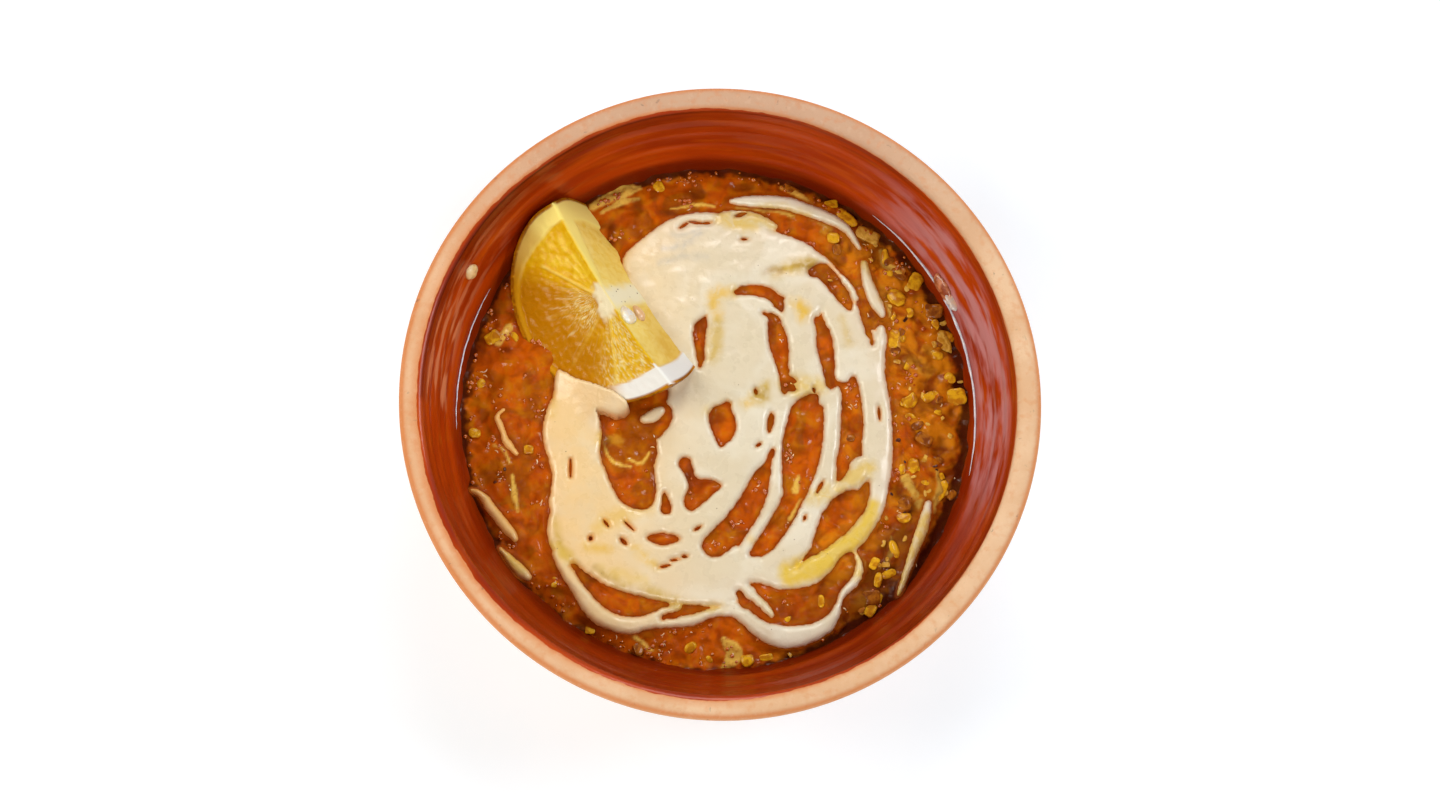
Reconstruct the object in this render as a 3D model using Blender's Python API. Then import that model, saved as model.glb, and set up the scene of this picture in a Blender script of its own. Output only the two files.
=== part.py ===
# Red lentil dal in a round clay bowl, with cream swirled over it and a quarter of lemon on top.
# Metres, +Z up. The origin is the middle of the bowl's flat foot, on the table it stands on.
# Seen from above with the lemon at the upper left, +X is to the right and +Y is up.

import math

import bmesh
import bpy
import numpy as np
from mathutils import Matrix, Vector, geometry, noise

MM = 0.001
GAP = 0.3 * MM                      # clearance between pieces that touch

# Bowl
RIM_RADIUS = 90 * MM
BOWL_HEIGHT = 60 * MM
FOOT_RADIUS = 54 * MM
FOOT_EDGE = 1.2 * MM
MOUTH_RADIUS = 83.2 * MM            # inner edge of the lip
LIP_RADIUS = 3 * MM                 # rounding of the lip
FLOOR_HEIGHT = 8 * MM               # thickness of the floor
FLOOR_RADIUS = 50 * MM              # flat part of the floor inside
CORNER_HEIGHT = 18 * MM             # where the wall starts to turn into the floor
WALL_LEAN = 22.6 * MM               # how much narrower the inside is at the floor
OUTER_BULGE = 2.2
INNER_BULGE = 1.6
TURNS = 64                          # facets round the bowl

# Dal
DAL_EDGE_HEIGHT = 33 * MM           # where the dal meets the wall
DAL_CROWN = 3 * MM
LUMP_DEPTH = 1.7 * MM
LUMP_SIZE = 6.5 * MM
EDGE_SINK = 1.0 * MM                # the surface sinks a little towards the wall
HEAP = (-50.5, 15.5, 8, 3)           # dal heaped against the lemon: place, width and height, millimetres
DAL_SPACING = 3.9 * MM              # between the points of the surface
COVERED_SPACING = 4                 # one point in so many is kept under the cream
DAL_RINGS = 6

# Cream
CREAM_EDGE = 0.8 * MM               # height of the cream's upright edge
CREAM_THICKNESS = 2.2 * MM
CREAM_SHOULDER = 1.2 * MM           # width of the rounding from edge to full thickness
CREAM_CELL = 0.8 * MM               # grid on which the outlines are followed
CREAM_TRIM = 0.16 * MM              # how far an outline may be straightened
CREAM_SPACING = 8 * MM
CREAM_LIMIT = 75.2 * MM             # the cream stays this far from the centre
CREAM_ON_LEMON = 0.9 * MM           # cream that runs over the lemon's cut face

# Lemon: a quarter, whose two cut faces meet in a ridge
LEMON_CENTRE = Vector((-32.6, 31.5, 49.5)) * MM
LEMON_RADIUS = 32.5 * MM
LEMON_LENGTH = 38 * MM
RIDGE_TURN = math.radians(31.4)     # how far the ridge leans to the left of +Y
RIDGE_RISE = math.radians(1.7)      # its near end is a little higher
RIDGE_BEND = 2.3 * MM               # its ends bend to the right
BEND_FADE = 13 * MM
WHEEL_DIP = math.radians(31.5)      # slope of the crosswise cut
LENGTH_DIP = math.radians(51)       # slope of the lengthwise cut
LENGTH_TWIST = math.radians(5)      # steeper by this at the far end
WHEEL_WIDTH = 0.92                  # the crosswise cut is a little narrower than long
BLUNTNESS = 0.85                    # under 1 for a fuller end
RIND = 1.4 * MM
PITH = 4.6 * MM                     # rind and pith together
FLESH_SINK = 0.5 * MM
CORE_RADIUS = 2.6 * MM
SEED_HEIGHT = 2.8 * MM
SEEDS = ((-8, 4.3, 6, 5.6), (-8.3, 10, 5.4, 3.4))        # along the ridge, down the cut, length, width, mm

# Cream ribbons: points of the middle line and the width there, in millimetres
POURS = {
    "crown": ((-22, 45.6, 11.8), (-16, 48.2, 15.8), (-9, 51, 19.4), (-3, 51.4, 20.4),
              (3, 50.8, 20.6), (8, 49.8, 19.6), (14, 48.2, 16.6), (22, 46.8, 14), (28, 47.1, 6.8),
              (32.4, 45.6, 3.6), (35.5, 42.4, 3), (38.6, 39, 3.2), (40.9, 35.4, 2.2)),
    "crown edge": ((3, 60.2, 4), (9, 59.8, 4.6), (14, 58.4, 3.8), (17.4, 57.2, 1.8)),
    "middle": ((-11, 38, 26), (-2, 27, 26), (-0.5, 14, 27), (-3.5, 3, 23), (-6, -8, 25),
               (-8, -20, 24)),
    "beside the lemon": ((-23, 41, 8), (-18, 32, 9), (-13, 22, 9), (-12.6, 14, 7), (-13, 9, 4)),
    "collar": ((2, 44, 12), (14, 43, 8), (24, 40, 12), (30, 37, 10)),
    "under the hook": ((10, 35, 7), (15, 33.6, 5.6), (20, 31.4, 5), (21.6, 26, 5)),
    "inner strand": ((8, 31, 13), (10, 22, 13), (11.4, 12, 17), (12.6, 3, 15), (9.6, -8, 13),
                     (5, -17, 12)),
    "second strand": ((26, 36, 12), (25, 28, 10), (26.2, 18, 11), (26, 10.6, 13), (33, 6, 7),
                      (33.3, -3, 5.4), (32.8, -11, 6.2), (31.2, -18, 7), (28, -26, 9),
                      (23.6, -35, 10.4), (17, -43, 11)),
    "third strand": ((34, 37, 9), (36.6, 30.4, 11), (38.4, 24, 10), (38.5, 18, 10), (37, 13, 6)),
    "right strand": ((39.5, 28, 6), (42.6, 20, 12.6), (43.9, 12, 10.8), (46.3, 3, 8.8),
                     (46.5, -6, 9.4), (46.4, -14, 9), (46, -20, 7.6), (44.8, -27, 6.6),
                     (41, -33.5, 6.2), (35, -39.5, 6.4), (28.5, -44, 8.4), (21, -46.5, 8),
                     (13, -46, 8)),
    "right lobe": ((48.3, 26.6, 2.6), (47.8, 23, 4.6), (46.2, 18, 6)),
    "heel": ((20, 5.6, 6), (24, 7, 6)),
    "bridge": ((41, -14, 5.4), (40, -19, 7), (35, -22.5, 5.5), (29, -26.5, 7)),
    "between the dark gaps": ((17.8, 6, 8), (18.2, -4, 5), (17.6, -14, 4.6), (17.2, -21, 5.4),
                              (14.9, -28, 5), (11.4, -34, 5), (8, -40, 6)),
    "inner spoke": ((6, -16, 10), (4, -23, 8.4), (0, -29, 8), (-6, -35, 8)),
    "left lobe": ((-46.7, 13.7, 0.8), (-45.6, 11.6, 3.8), (-44.4, 9, 6.8), (-42.6, 4, 11.4),
                  (-42.4, -1.5, 16.2), (-42.2, -6, 17.4), (-40.4, -16, 15.6), (-37.2, -27, 24)),
    "below the lemon": ((-43.4, 7.6, 8), (-38, 6, 7.4), (-31, 3.6, 7), (-26, 2.2, 5.4),
                        (-22.4, 3, 2.4)),
    "spokes at the left": ((-14.5, -14, 7.4), (-14.5, -22, 9), (-17, -30, 12)),
    "pool": ((-37, -33, 25), (-25, -37.5, 27.4), (-12, -41, 27), (0, -45.5, 19), (9, -45.5, 11)),
    "outer left strand": ((-46.8, -40.3, 2.6), (-43.5, -45.8, 3.8), (-40.7, -49.8, 4),
                          (-37.7, -54.2, 5), (-34.3, -57.8, 5.4), (-29.9, -60, 5.2),
                          (-25.1, -60.9, 5.2), (-20.1, -59.9, 4.4), (-12.8, -59.8, 3.5),
                          (-8, -59.4, 3.6), (-5, -58.4, 3.2), (-1.6, -57.2, 2.8), (4, -56.8, 3)),
    "fork": ((-20, -59, 3), (-16, -57, 2.6), (-11.5, -55.6, 2.4)),
    "bottom arc": ((5, -57, 3.4), (8.8, -58.8, 5.2), (12.8, -61.8, 6), (18, -64, 6.6),
                   (23, -63.8, 6.4), (27.6, -62.4, 5.6), (31.4, -60.2, 4.8), (33.7, -56.8, 3.4),
                   (34.3, -53.6, 3.2), (36, -50.8, 3.2), (38.5, -49, 3), (40.2, -46.6, 2.8),
                   (40.7, -43.8, 2.8), (40.2, -41.2, 2), (38.6, -39.7, 1.6), (36.8, -40, 1.4)),
    "joint": ((1, -54.6, 3), (5, -55.2, 2.6)),
    "tongue": ((6.6, -49.4, 3.4), (10.8, -53, 2.9), (14, -56, 2.6), (15.6, -58.2, 1.6)),
}
# Openings in the swirl, where the dal shows through
OPENINGS = {
    "by the lemon": ((-3.4, 29.4, 0.8), (-5, 26, 3.4), (-5.2, 21, 2.6), (-4.9, 17.5, 2),
                     (-5.2, 14.3, 0.7)),
    "hook": ((5.7, 37, 1.6), (8.9, 37.6, 2.6), (12.8, 37.1, 2.5), (16.2, 35.7, 2.6),
             (18.1, 33.4, 2.5), (18.8, 31.4, 1)),
    "long left": ((13.4, 30.9, 0.7), (15.6, 29.6, 1.4), (17, 26.4, 4), (18, 20.6, 5.2),
                  (19, 15, 3.2), (19.6, 10, 2.4), (19.4, 6.8, 1.2)),
    "long left barb": ((20.5, 11.4, 1.2), (22.7, 10.3, 1.2)),
    "long left heel": ((20.2, 8.8, 1.6), (22.4, 8.1, 1.4)),
    "long middle": ((29.2, 28.9, 1.6), (30.9, 25.4, 3.6), (31.6, 20.6, 4.6), (32.4, 15, 3.5),
                    (32.8, 10.6, 2.4), (33.1, 8.2, 0.9)),
    "under the string": ((28.2, 43.4, 2.6), (31.4, 43.6, 4.6), (34.4, 40, 4.4), (37.2, 36, 3.8),
                         (38.8, 32.9, 2)),
    "string edge": ((43.4, 32.6, 1.6), (43.6, 28.6, 1.6), (44.4, 25.4, 1.3), (45.6, 22.7, 1)),
    "right blade": ((39.8, 11.2, 1.8), (39.2, 6, 5), (39.2, 0, 6.2), (39, -4.5, 6.3),
                    (38.4, -9, 5.8), (36.6, -12.6, 3.8), (35.2, -16, 1.4), (34.6, -17.8, 0.6)),
    "broad left": ((14.7, -13.8, 1.2), (12.6, -17.8, 4.4), (11, -22, 5.9), (8.9, -26, 6.3),
                   (5.2, -31.1, 6.4), (1.7, -35.4, 7.2), (-1.2, -37.8, 6.6)),
    "broad middle": ((28.6, 6, 1.8), (25.6, 2, 7), (25.1, -3.8, 10.2), (24.4, -8.8, 11.2),
                     (23.8, -13.8, 10.2), (22.9, -18.8, 8.2), (21.7, -23.8, 5.8),
                     (19.4, -28.8, 5.7), (16.2, -33.8, 5.4), (12.8, -38.2, 4.6), (9.4, -40.4, 1)),
    "broad right": ((43.6, -19, 0.8), (41.6, -23.4, 4.2), (38, -26.2, 8.6), (34.4, -30.2, 8.8),
                    (31.2, -34.6, 6), (28.2, -38.8, 2.6), (25.6, -41, 0.9), (21.8, -44.4, 0.6)),
    "large left": ((-27, -3.4, 5), (-26, -9.2, 15.8), (-25.8, -13, 14.4), (-25, -17.4, 12.6),
                   (-23.8, -21, 11.4), (-22, -23.8, 7.2)),
    "large left arm": ((-26, -3, 4), (-22.6, -0.8, 6), (-17.4, 1.4, 5.8), (-16.2, -0.6, 5.6),
                       (-18.8, -4.4, 5)),
    "centre": ((1, -0.6, 7.2), (1.7, -3.6, 6.8), (1.3, -6.8, 3.2), (0.7, -9, 0.8)),
    "centre lip": ((0, 1.8, 2), (3, 3.2, 2)),
    "fan stem": ((-9.6, -14, 3.4), (-8, -17.6, 2.4), (-7, -20, 3)),
    "fan": ((0.3, -20.5, 1.4), (-4.2, -21.5, 5.6), (-7.2, -24.6, 5), (-8, -26.8, 2)),
    "small cone": ((-15.4, -22.8, 0.9), (-15.2, -25.4, 2), (-15, -27.4, 2.8)),
    "lens": ((-20, -35.6, 1.2), (-16.4, -36, 3.4), (-13.4, -36, 2.4), (-11.4, -36, 0.8)),
    "crescent": ((-42.2, -43, 0.8), (-38.3, -46.8, 2), (-34.7, -49.9, 3.2), (-30.9, -52.7, 5),
                 (-27.3, -54.6, 6.2), (-23.7, -55.2, 5.8), (-19.9, -55, 3.4), (-16.3, -54.6, 1)),
    "slit by the fork": ((-16, -58.6, 1.2), (-12, -57.6, 1.6), (-8, -56.4, 1.6), (-5, -55.3, 0.9)),
    "notch": ((5.8, -51.4, 1.6), (7.8, -54, 1.9), (11.8, -57.5, 1.6), (15, -59.6, 1.2)),
    "bottom window": ((9.4, -48.8, 0.8), (13.6, -50.8, 3), (18.4, -54.6, 6.2), (23, -55.6, 9.6),
                      (28.6, -53.8, 9.4), (32.2, -49.6, 6), (35.6, -45.8, 5.6), (37.2, -43, 5),
                      (38, -41, 2.6)),
    "slit": ((16, 0.8, 0.8), (15.4, -2.4, 1.3), (14.6, -4.8, 0.9)),
    "slit below": ((16, -9.8, 1), (15.2, -12, 1.4), (14.2, -14.4, 1)),
    "nick": ((32, 9.6, 1.1), (34.2, 9.2, 0.9)),
}
# Ribbons that lie apart from the swirl
STREAKS = {
    "cream_streak_top": ((4.4, 65, 1.8), (9, 65.1, 3.6), (15, 65, 4.2), (21, 64.5, 4.4),
                         (27, 62.6, 4.2), (33, 60.2, 3.8), (37.2, 58, 3.2), (39.6, 55.5, 2.4),
                         (41.2, 52.7, 2), (42.4, 50.9, 1.4)),
    "cream_streak_right": ((43.6, 46.4, 2.2), (44.1, 42.2, 3.4), (45.4, 38, 4), (47.1, 34, 4),
                           (48.7, 30.9, 2.4)),
    "cream_streak_edge": ((61.2, -25.2, 2.2), (60.4, -29, 3.4), (58.8, -34, 3.6), (56.8, -39, 3),
                          (55, -44, 2.4), (53.2, -49, 1.9), (52, -52, 1.2)),
    "cream_streak_left": ((-71.4, -21.6, 1.4), (-69.4, -22.4, 1.9), (-67.5, -23.9, 2.6),
                          (-66.3, -26.1, 3.2), (-63.1, -30.2, 3.2), (-61.2, -32.5, 3.3),
                          (-59.4, -34.5, 2.9), (-58.5, -36, 2)),
    "cream_streak_low": ((-63.1, -38.6, 1.2), (-61.2, -40.6, 2.4), (-59.6, -42.9, 3.8),
                         (-57.4, -44.9, 4), (-54.9, -46.8, 2.8)),
    "cream_streak_wavy": ((-62.3, 1.9, 1.3), (-64.2, -0.2, 1.6), (-63.3, -2.1, 2),
                          (-62.4, -4.6, 1.8), (-61.4, -7.4, 2.4), (-59.8, -9.3, 2.1),
                          (-58.2, -11.1, 1.5)),
    "cream_drop": ((-21.3, -1, 3), (-18.9, -0.1, 4), (-16.6, 1.5, 3)),
}
# Larger lentils and pieces of vegetable that stand out of the dal:
# place, length and width in millimetres, and the turn of the length in degrees
PIECES = (
    (23, 69.2, 5.4, 2.2, -25), (35, 66.2, 4, 3, 10), (40.6, 63.2, 6, 3, -40),
    (46, 56.4, 6.4, 3.6, -22), (34.6, 54.2, 3.6, 3.3, 0), (50.2, 48.2, 5, 2.1, -75),
    (54, 43.2, 4.4, 2.2, -35), (60.8, 42.6, 4.6, 3.6, 60), (53.2, 36.4, 5, 4, -40),
    (64.7, 32.6, 4.4, 3.8, 0), (52, 23.6, 5, 2.7, 80), (68.4, 23.8, 5.8, 3, -65),
    (64.6, 28.4, 3, 2, 90), (70.4, 6.6, 4.8, 4.4, 10), (59.5, 15.8, 6.4, 5, 0),
    (64.8, 18.8, 3, 2.2, 0), (54.6, -25.4, 4.2, 3.6, 20), (54, -29.4, 3.8, 2.5, 0),
    (65.6, -21, 5.6, 2.3, 70), (44.4, -52.6, 4.4, 3.8, 0), (44.8, -57, 3.4, 2.8, 60),
    (46.4, -47.4, 3.8, 2, 80), (49.6, -45.6, 3.6, 2, 20), (51.2, -38.6, 4.6, 2.3, -70),
    (45.2, -42.6, 3.2, 2.2, 60), (8.4, -71, 3.8, 3.4, 0), (14, -70.2, 4, 2, 8),
    (2.6, -67.6, 6.6, 4.6, -50), (-23, -67.2, 4.2, 2.8, -70), (-37.6, -63.4, 3, 2.5, 0),
    (-70.6, -4.6, 3.8, 3, 0), (-54.8, -9.8, 2.9, 2.7, 0), (-28, 68.4, 8, 3, 12),
    (-33.6, 65, 4.4, 2.8, 30), (-8, -67, 4, 2.8, 40), (56.6, 5, 4, 3, 30),
    (60.4, -6, 4.4, 3.2, -30), (57, -14, 3.8, 2.8, 70), (-58, 14, 3.6, 2.8, 20),
    (-68, 12, 4, 3, 60),
)
SERVING = (0.3, -1.2)               # place of the serving's middle in the bowl, millimetres
PIECE_HEIGHT = 0.8                  # height of a piece over its width
PIECE_SUNK = 0.3                    # share of its height that its middle lies below the dome
PIECE_LIFT = 0.15                   # and at most this share above the surface round it


def slot(name, colour, roughness):
    material = bpy.data.materials.new(name)
    material.use_nodes = True
    shader = material.node_tree.nodes["Principled BSDF"]
    shader.inputs["Base Color"].default_value = (*colour, 1)
    shader.inputs["Roughness"].default_value = roughness
    shader.inputs["Metallic"].default_value = 0
    material.diffuse_color = (*colour, 1)
    return material


def place(name, shape, material, smooth_under=50):
    bmesh.ops.recalc_face_normals(shape, faces=shape.faces)
    mesh = bpy.data.meshes.new(name)
    shape.to_mesh(mesh)
    shape.free()
    mesh.materials.append(material)
    mesh.shade_smooth()
    mesh.set_sharp_from_angle(angle=math.radians(smooth_under))
    piece = bpy.data.objects.new(name, mesh)
    bpy.context.scene.collection.objects.link(piece)
    return piece


# Bakes the piece's modifiers into its mesh
def apply_all(piece):
    view = bpy.context.evaluated_depsgraph_get()
    baked = bpy.data.meshes.new_from_object(piece.evaluated_get(view))
    piece.modifiers.clear()
    piece.data = baked


def boolean(piece, operation, cutter=None, collection=None, solver="EXACT"):
    cut = piece.modifiers.new(operation.lower(), "BOOLEAN")
    cut.operation = operation
    cut.solver = solver
    if collection:
        cut.operand_type = "COLLECTION"
        cut.collection = collection
    else:
        cut.object = cutter


# Radius of the bowl outside and inside at a height
def outer_radius(z):
    return RIM_RADIUS - (RIM_RADIUS - FOOT_RADIUS) * (1 - z / (BOWL_HEIGHT - LIP_RADIUS)) ** OUTER_BULGE


def inner_radius(z):
    return MOUTH_RADIUS - WALL_LEAN * ((BOWL_HEIGHT - z) / (BOWL_HEIGHT - FLOOR_HEIGHT)) ** INNER_BULGE


# The inside of the bowl from a height on the wall down to the middle of the floor
def inside_profile(top, wall_points, corner_points, grow=0.0):
    heights = np.linspace(top, CORNER_HEIGHT, wall_points)
    profile = [(inner_radius(z), z) for z in heights]
    start, end = profile[-1], (FLOOR_RADIUS, FLOOR_HEIGHT)
    turn = (inner_radius(CORNER_HEIGHT) - 5 * MM, FLOOR_HEIGHT)
    for t in np.linspace(0, 1, corner_points)[1:]:
        profile.append(tuple((1 - t) ** 2 * a + 2 * t * (1 - t) * b + t * t * c
                             for a, b, c in zip(start, turn, end)))
    profile.append((0, FLOOR_HEIGHT))
    return [(max(r - grow, 0), z + grow) for r, z in profile]


# Rings of points round the axis, from a profile of (radius, height); a radius of 0 is one point
def turned_rings(shape, profile):
    rings = []
    for radius, height in profile:
        turns = [math.tau * k / TURNS for k in range(TURNS if radius > 0 else 1)]
        rings.append([shape.verts.new((radius * math.cos(t), radius * math.sin(t), height)) for t in turns])
    for low, high in zip(rings, rings[1:]):
        for k in range(TURNS):
            corners = [low[k % len(low)], low[(k + 1) % len(low)],
                       high[(k + 1) % len(high)], high[k % len(high)]]
            shape.faces.new(list(dict.fromkeys(corners)))
    return rings


def bowl(clay):
    lip = BOWL_HEIGHT - LIP_RADIUS
    profile = [(0, 0), (FOOT_RADIUS - FOOT_EDGE, 0)]
    profile += [(outer_radius(z), z) for z in np.linspace(FOOT_EDGE, lip, 9)]
    for turn in np.radians((30, 60, 90)):
        profile.append((RIM_RADIUS - LIP_RADIUS + LIP_RADIUS * math.cos(turn),
                        lip + LIP_RADIUS * math.sin(turn)))
    profile += [(MOUTH_RADIUS + 1.0 * MM, BOWL_HEIGHT - 0.2 * MM)]
    profile += inside_profile(BOWL_HEIGHT - 1.0 * MM, 6, 4)
    shape = bmesh.new()
    turned_rings(shape, profile)
    return place("bowl", shape, clay, 35)


# Height of the smooth dome that the cream rests on
def dome(x, y):
    return DAL_EDGE_HEIGHT + DAL_CROWN * (1 - (x * x + y * y) / inner_radius(DAL_EDGE_HEIGHT) ** 2)


# A smooth run of (x, y, width) in metres through hand-placed points, a few steps to each span
def ribbon(points, steps=5):
    p = (np.array(points, float) + (*SERVING, 0)) * MM
    ends = np.vstack([2 * p[0] - p[1], p, 2 * p[-1] - p[-2]])
    run = []
    for a, b, c, d in zip(ends, ends[1:], ends[2:], ends[3:]):
        for t in np.arange(steps) / steps:
            run.append(0.5 * (2 * b + (c - a) * t + (2 * a - 5 * b + 4 * c - d) * t ** 2
                              + (3 * b - a - 3 * c + d) * t ** 3))
    return np.vstack(run + [p[-1:]])


# How far each point lies inside the nearest ribbon's edge; negative outside
def depth_inside(ribbons, x, y):
    depth = np.full(np.shape(x), -1.0)
    for run in ribbons:
        for (x0, y0, w0), (x1, y1, w1) in zip(run, run[1:]):
            dx, dy = x1 - x0, y1 - y0
            t = np.clip(((x - x0) * dx + (y - y0) * dy) / (dx * dx + dy * dy), 0, 1)
            depth = np.maximum(depth, (w0 + t * (w1 - w0)) / 2 - np.hypot(x - x0 - t * dx, y - y0 - t * dy))
    return depth


def swirl_depth(x, y):
    inside = depth_inside([ribbon(points) for points in POURS.values()], x, y)
    opened = depth_inside([ribbon(points) for points in OPENINGS.values()], x, y)
    return np.minimum(np.minimum(inside, -opened), CREAM_LIMIT - np.hypot(x, y))


def streak_depth(points, x, y):
    return np.minimum(depth_inside([ribbon(points)], x, y), CREAM_LIMIT - np.hypot(x, y))


# Depth of all the cream at one place, read between the points of the grid
class CreamMap:
    def __init__(self):
        self.reach = 78 * MM
        axis = np.arange(-self.reach, self.reach, CREAM_CELL)
        self.axis = axis
        self.x, self.y = np.meshgrid(axis, axis, indexing="ij")
        self.swirl = swirl_depth(self.x, self.y)
        self.streaks = {name: streak_depth(points, self.x, self.y) for name, points in STREAKS.items()}
        self.all = np.maximum.reduce([self.swirl] + list(self.streaks.values()))

    def at(self, field, x, y):
        i, j = (x + self.reach) / CREAM_CELL, (y + self.reach) / CREAM_CELL
        i0 = int(min(max(i, 0), len(self.axis) - 2))
        j0 = int(min(max(j, 0), len(self.axis) - 2))
        s, t = i - i0, j - j0
        low = field[i0, j0] * (1 - s) + field[i0 + 1, j0] * s
        high = field[i0, j0 + 1] * (1 - s) + field[i0 + 1, j0 + 1] * s
        return low * (1 - t) + high * t


# Follows the line where a field crosses a level, as closed loops with the inside on the left
def outlines(field, level, axis):
    above = field > level
    links, places = {}, {}

    def crossing(a, b):
        key = (min(a, b), max(a, b))
        if key not in places:
            share = (level - field[key[0]]) / (field[key[1]] - field[key[0]])
            near, far = (Vector((axis[i], axis[j])) for i, j in key)
            places[key] = near.lerp(far, min(max(share, 0.02), 0.98))
        return key

    mixed = above[:-1, :-1].astype(int) + above[1:, :-1] + above[1:, 1:] + above[:-1, 1:]
    for i, j in zip(*np.nonzero((mixed > 0) & (mixed < 4))):
        corners = [(i, j), (i + 1, j), (i + 1, j + 1), (i, j + 1)]
        inside = [above[c] for c in corners]
        leaving = [k for k in range(4) if inside[k] and not inside[(k + 1) % 4]]
        entering = [k for k in range(4) if not inside[k] and inside[(k + 1) % 4]]
        joined = sum(field[c] for c in corners) / 4 > level
        for k in leaving:
            order = [(k + step) % 4 for step in range(1, 4)]
            ways = [e for e in order if e in entering]
            e = ways[0] if joined else ways[-1]
            links[crossing(corners[k], corners[(k + 1) % 4])] = crossing(corners[e], corners[(e + 1) % 4])
    loops = []
    while links:
        key, loop = next(iter(links)), []
        while key in links:
            loop.append(places[key])
            key = links.pop(key)
        loops.append(loop)
    return loops


def area(loop):
    return sum(a.x * b.y - b.x * a.y for a, b in zip(loop, loop[1:] + loop[:1])) / 2


def contains(loop, x, y):
    odd = False
    for a, b in zip(loop, loop[1:] + loop[:1]):
        if (a.y > y) != (b.y > y) and x < (b.x - a.x) * (y - a.y) / (b.y - a.y) + a.x:
            odd = not odd
    return odd


# Leaves out the points of a loop that lie within a tolerance of the line between the others
def straightened(loop, tolerance):
    def thin(run):
        start, end = run[0], run[-1]
        along = (end - start).normalized() if (end - start).length > 0 else Vector((1, 0))
        off = [abs((p - start).cross(along)) for p in run]
        worst = max(range(len(run)), key=off.__getitem__)
        if off[worst] < tolerance:
            return [start]
        return thin(run[:worst + 1]) + thin(run[worst:])

    far = max(range(len(loop)), key=lambda k: (loop[k] - loop[0]).length)
    return thin(loop[:far + 1]) + thin(loop[far:] + loop[:1])


# Points in rows that are half a step apart, over a square
def hexagonal(reach, spacing):
    rows = int(2 * reach / (spacing * 0.866))
    for row in range(rows + 1):
        y = -reach + row * spacing * 0.866
        for column in range(int(2 * reach / spacing) + 1):
            yield row, column, Vector((-reach + (column + 0.5 * (row % 2)) * spacing, y))


# Triangles between loops and loose points, kept where the wanted test says so
def filled(loops, loose, wanted):
    points, edges = [], []
    for loop in loops:
        start = len(points)
        points += loop
        edges += [(start + k, start + (k + 1) % len(loop)) for k in range(len(loop))]
    result = geometry.delaunay_2d_cdt(points + loose, edges, [], 0, 1e-7)
    places, triangles, origins = result[0], result[2], result[3]
    kept = []
    for triangle in triangles:
        middle = sum((places[k] for k in triangle), Vector((0, 0))) / 3
        if wanted(middle.x, middle.y):
            kept.append([origins[k][0] for k in triangle])
    return points + loose, kept


def lemon_frame():
    level = Vector((-math.sin(RIDGE_TURN), math.cos(RIDGE_TURN), 0))
    down = Vector((0, 0, -1))
    ridge = level * math.cos(RIDGE_RISE) + down * math.sin(RIDGE_RISE)
    left = level.cross(down)
    across = left * math.cos(WHEEL_DIP) + down * math.sin(WHEEL_DIP)
    along = -left * math.cos(LENGTH_DIP) + down * math.sin(LENGTH_DIP)
    return ridge, left, across, along


# How much the cream rises where it runs over the edge of the lemon's crosswise cut
def rise_on_lemon(x, y, height):
    ridge, left, across, _ = lemon_frame()
    offset = Vector((x - LEMON_CENTRE.x, y - LEMON_CENTRE.y))
    side = Matrix(((ridge.x, across.x), (ridge.y, across.y))).inverted() @ offset
    beyond = max(side.length - LEMON_RADIUS, 0)
    cover = LEMON_CENTRE.z + side.x * ridge.z + side.y * across.z + CREAM_ON_LEMON
    share = min(max((side.y - 3 * MM) / (5 * MM), 0), 1)
    return max(cover - height, 0) * share * math.exp(-(beyond / (7 * MM)) ** 2)


def cream(name, field, cream_map, material, on_lemon=False):
    outer = [straightened(loop, CREAM_TRIM) for loop in outlines(field, 0, cream_map.axis)]
    outer = [loop for loop in outer if len(loop) > 3]
    rim = max(outer, key=area)
    holes = [loop for loop in outer if area(loop) < 0 and contains(rim, loop[0].x, loop[0].y)]
    edges = [rim] + holes

    def covered(x, y):
        return sum(contains(loop, x, y) for loop in edges) % 2 == 1

    shoulders = [straightened(loop, CREAM_TRIM) for loop in outlines(field, CREAM_SHOULDER, cream_map.axis)]
    shoulders = [loop for loop in shoulders if len(loop) > 3 and covered(loop[0].x, loop[0].y)]
    loose = [p for _, _, p in hexagonal(cream_map.reach, CREAM_SPACING)
             if cream_map.at(field, p.x, p.y) > CREAM_SHOULDER * 1.8 and covered(p.x, p.y)]
    shape = bmesh.new()
    edge_count = sum(len(loop) for loop in edges)
    tops, top_faces = filled(edges + shoulders, loose, covered)
    bottoms, bottom_faces = filled(edges, loose, covered)

    def vertex(p, height):
        top = dome(p.x, p.y) + GAP + height
        if on_lemon and height:
            top += rise_on_lemon(p.x, p.y, top)
        return shape.verts.new((p.x, p.y, top))

    top = [vertex(p, CREAM_EDGE if k < edge_count else CREAM_THICKNESS) for k, p in enumerate(tops)]
    bottom = [vertex(p, 0) for p in bottoms]
    for corners in top_faces:
        shape.faces.new([top[k] for k in corners])
    for corners in bottom_faces:
        shape.faces.new([bottom[k] for k in reversed(corners)])
    start = 0
    for loop in edges:
        for k in range(len(loop)):
            a, b = start + k, start + (k + 1) % len(loop)
            shape.faces.new((top[b], top[a], bottom[a], bottom[b]))
        start += len(loop)
    return place(name, shape, material)


# Depth of the hollows between the lumps of the dal
def hollow(x, y):
    place_here = Vector((x, y, 0)) / LUMP_SIZE
    coarse = noise.noise(place_here)
    fine = noise.noise(place_here * 2.3 + Vector((7, 3, 1)))
    return LUMP_DEPTH * min(max(0.5 - 0.75 * coarse - 0.3 * fine, 0), 1)


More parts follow.
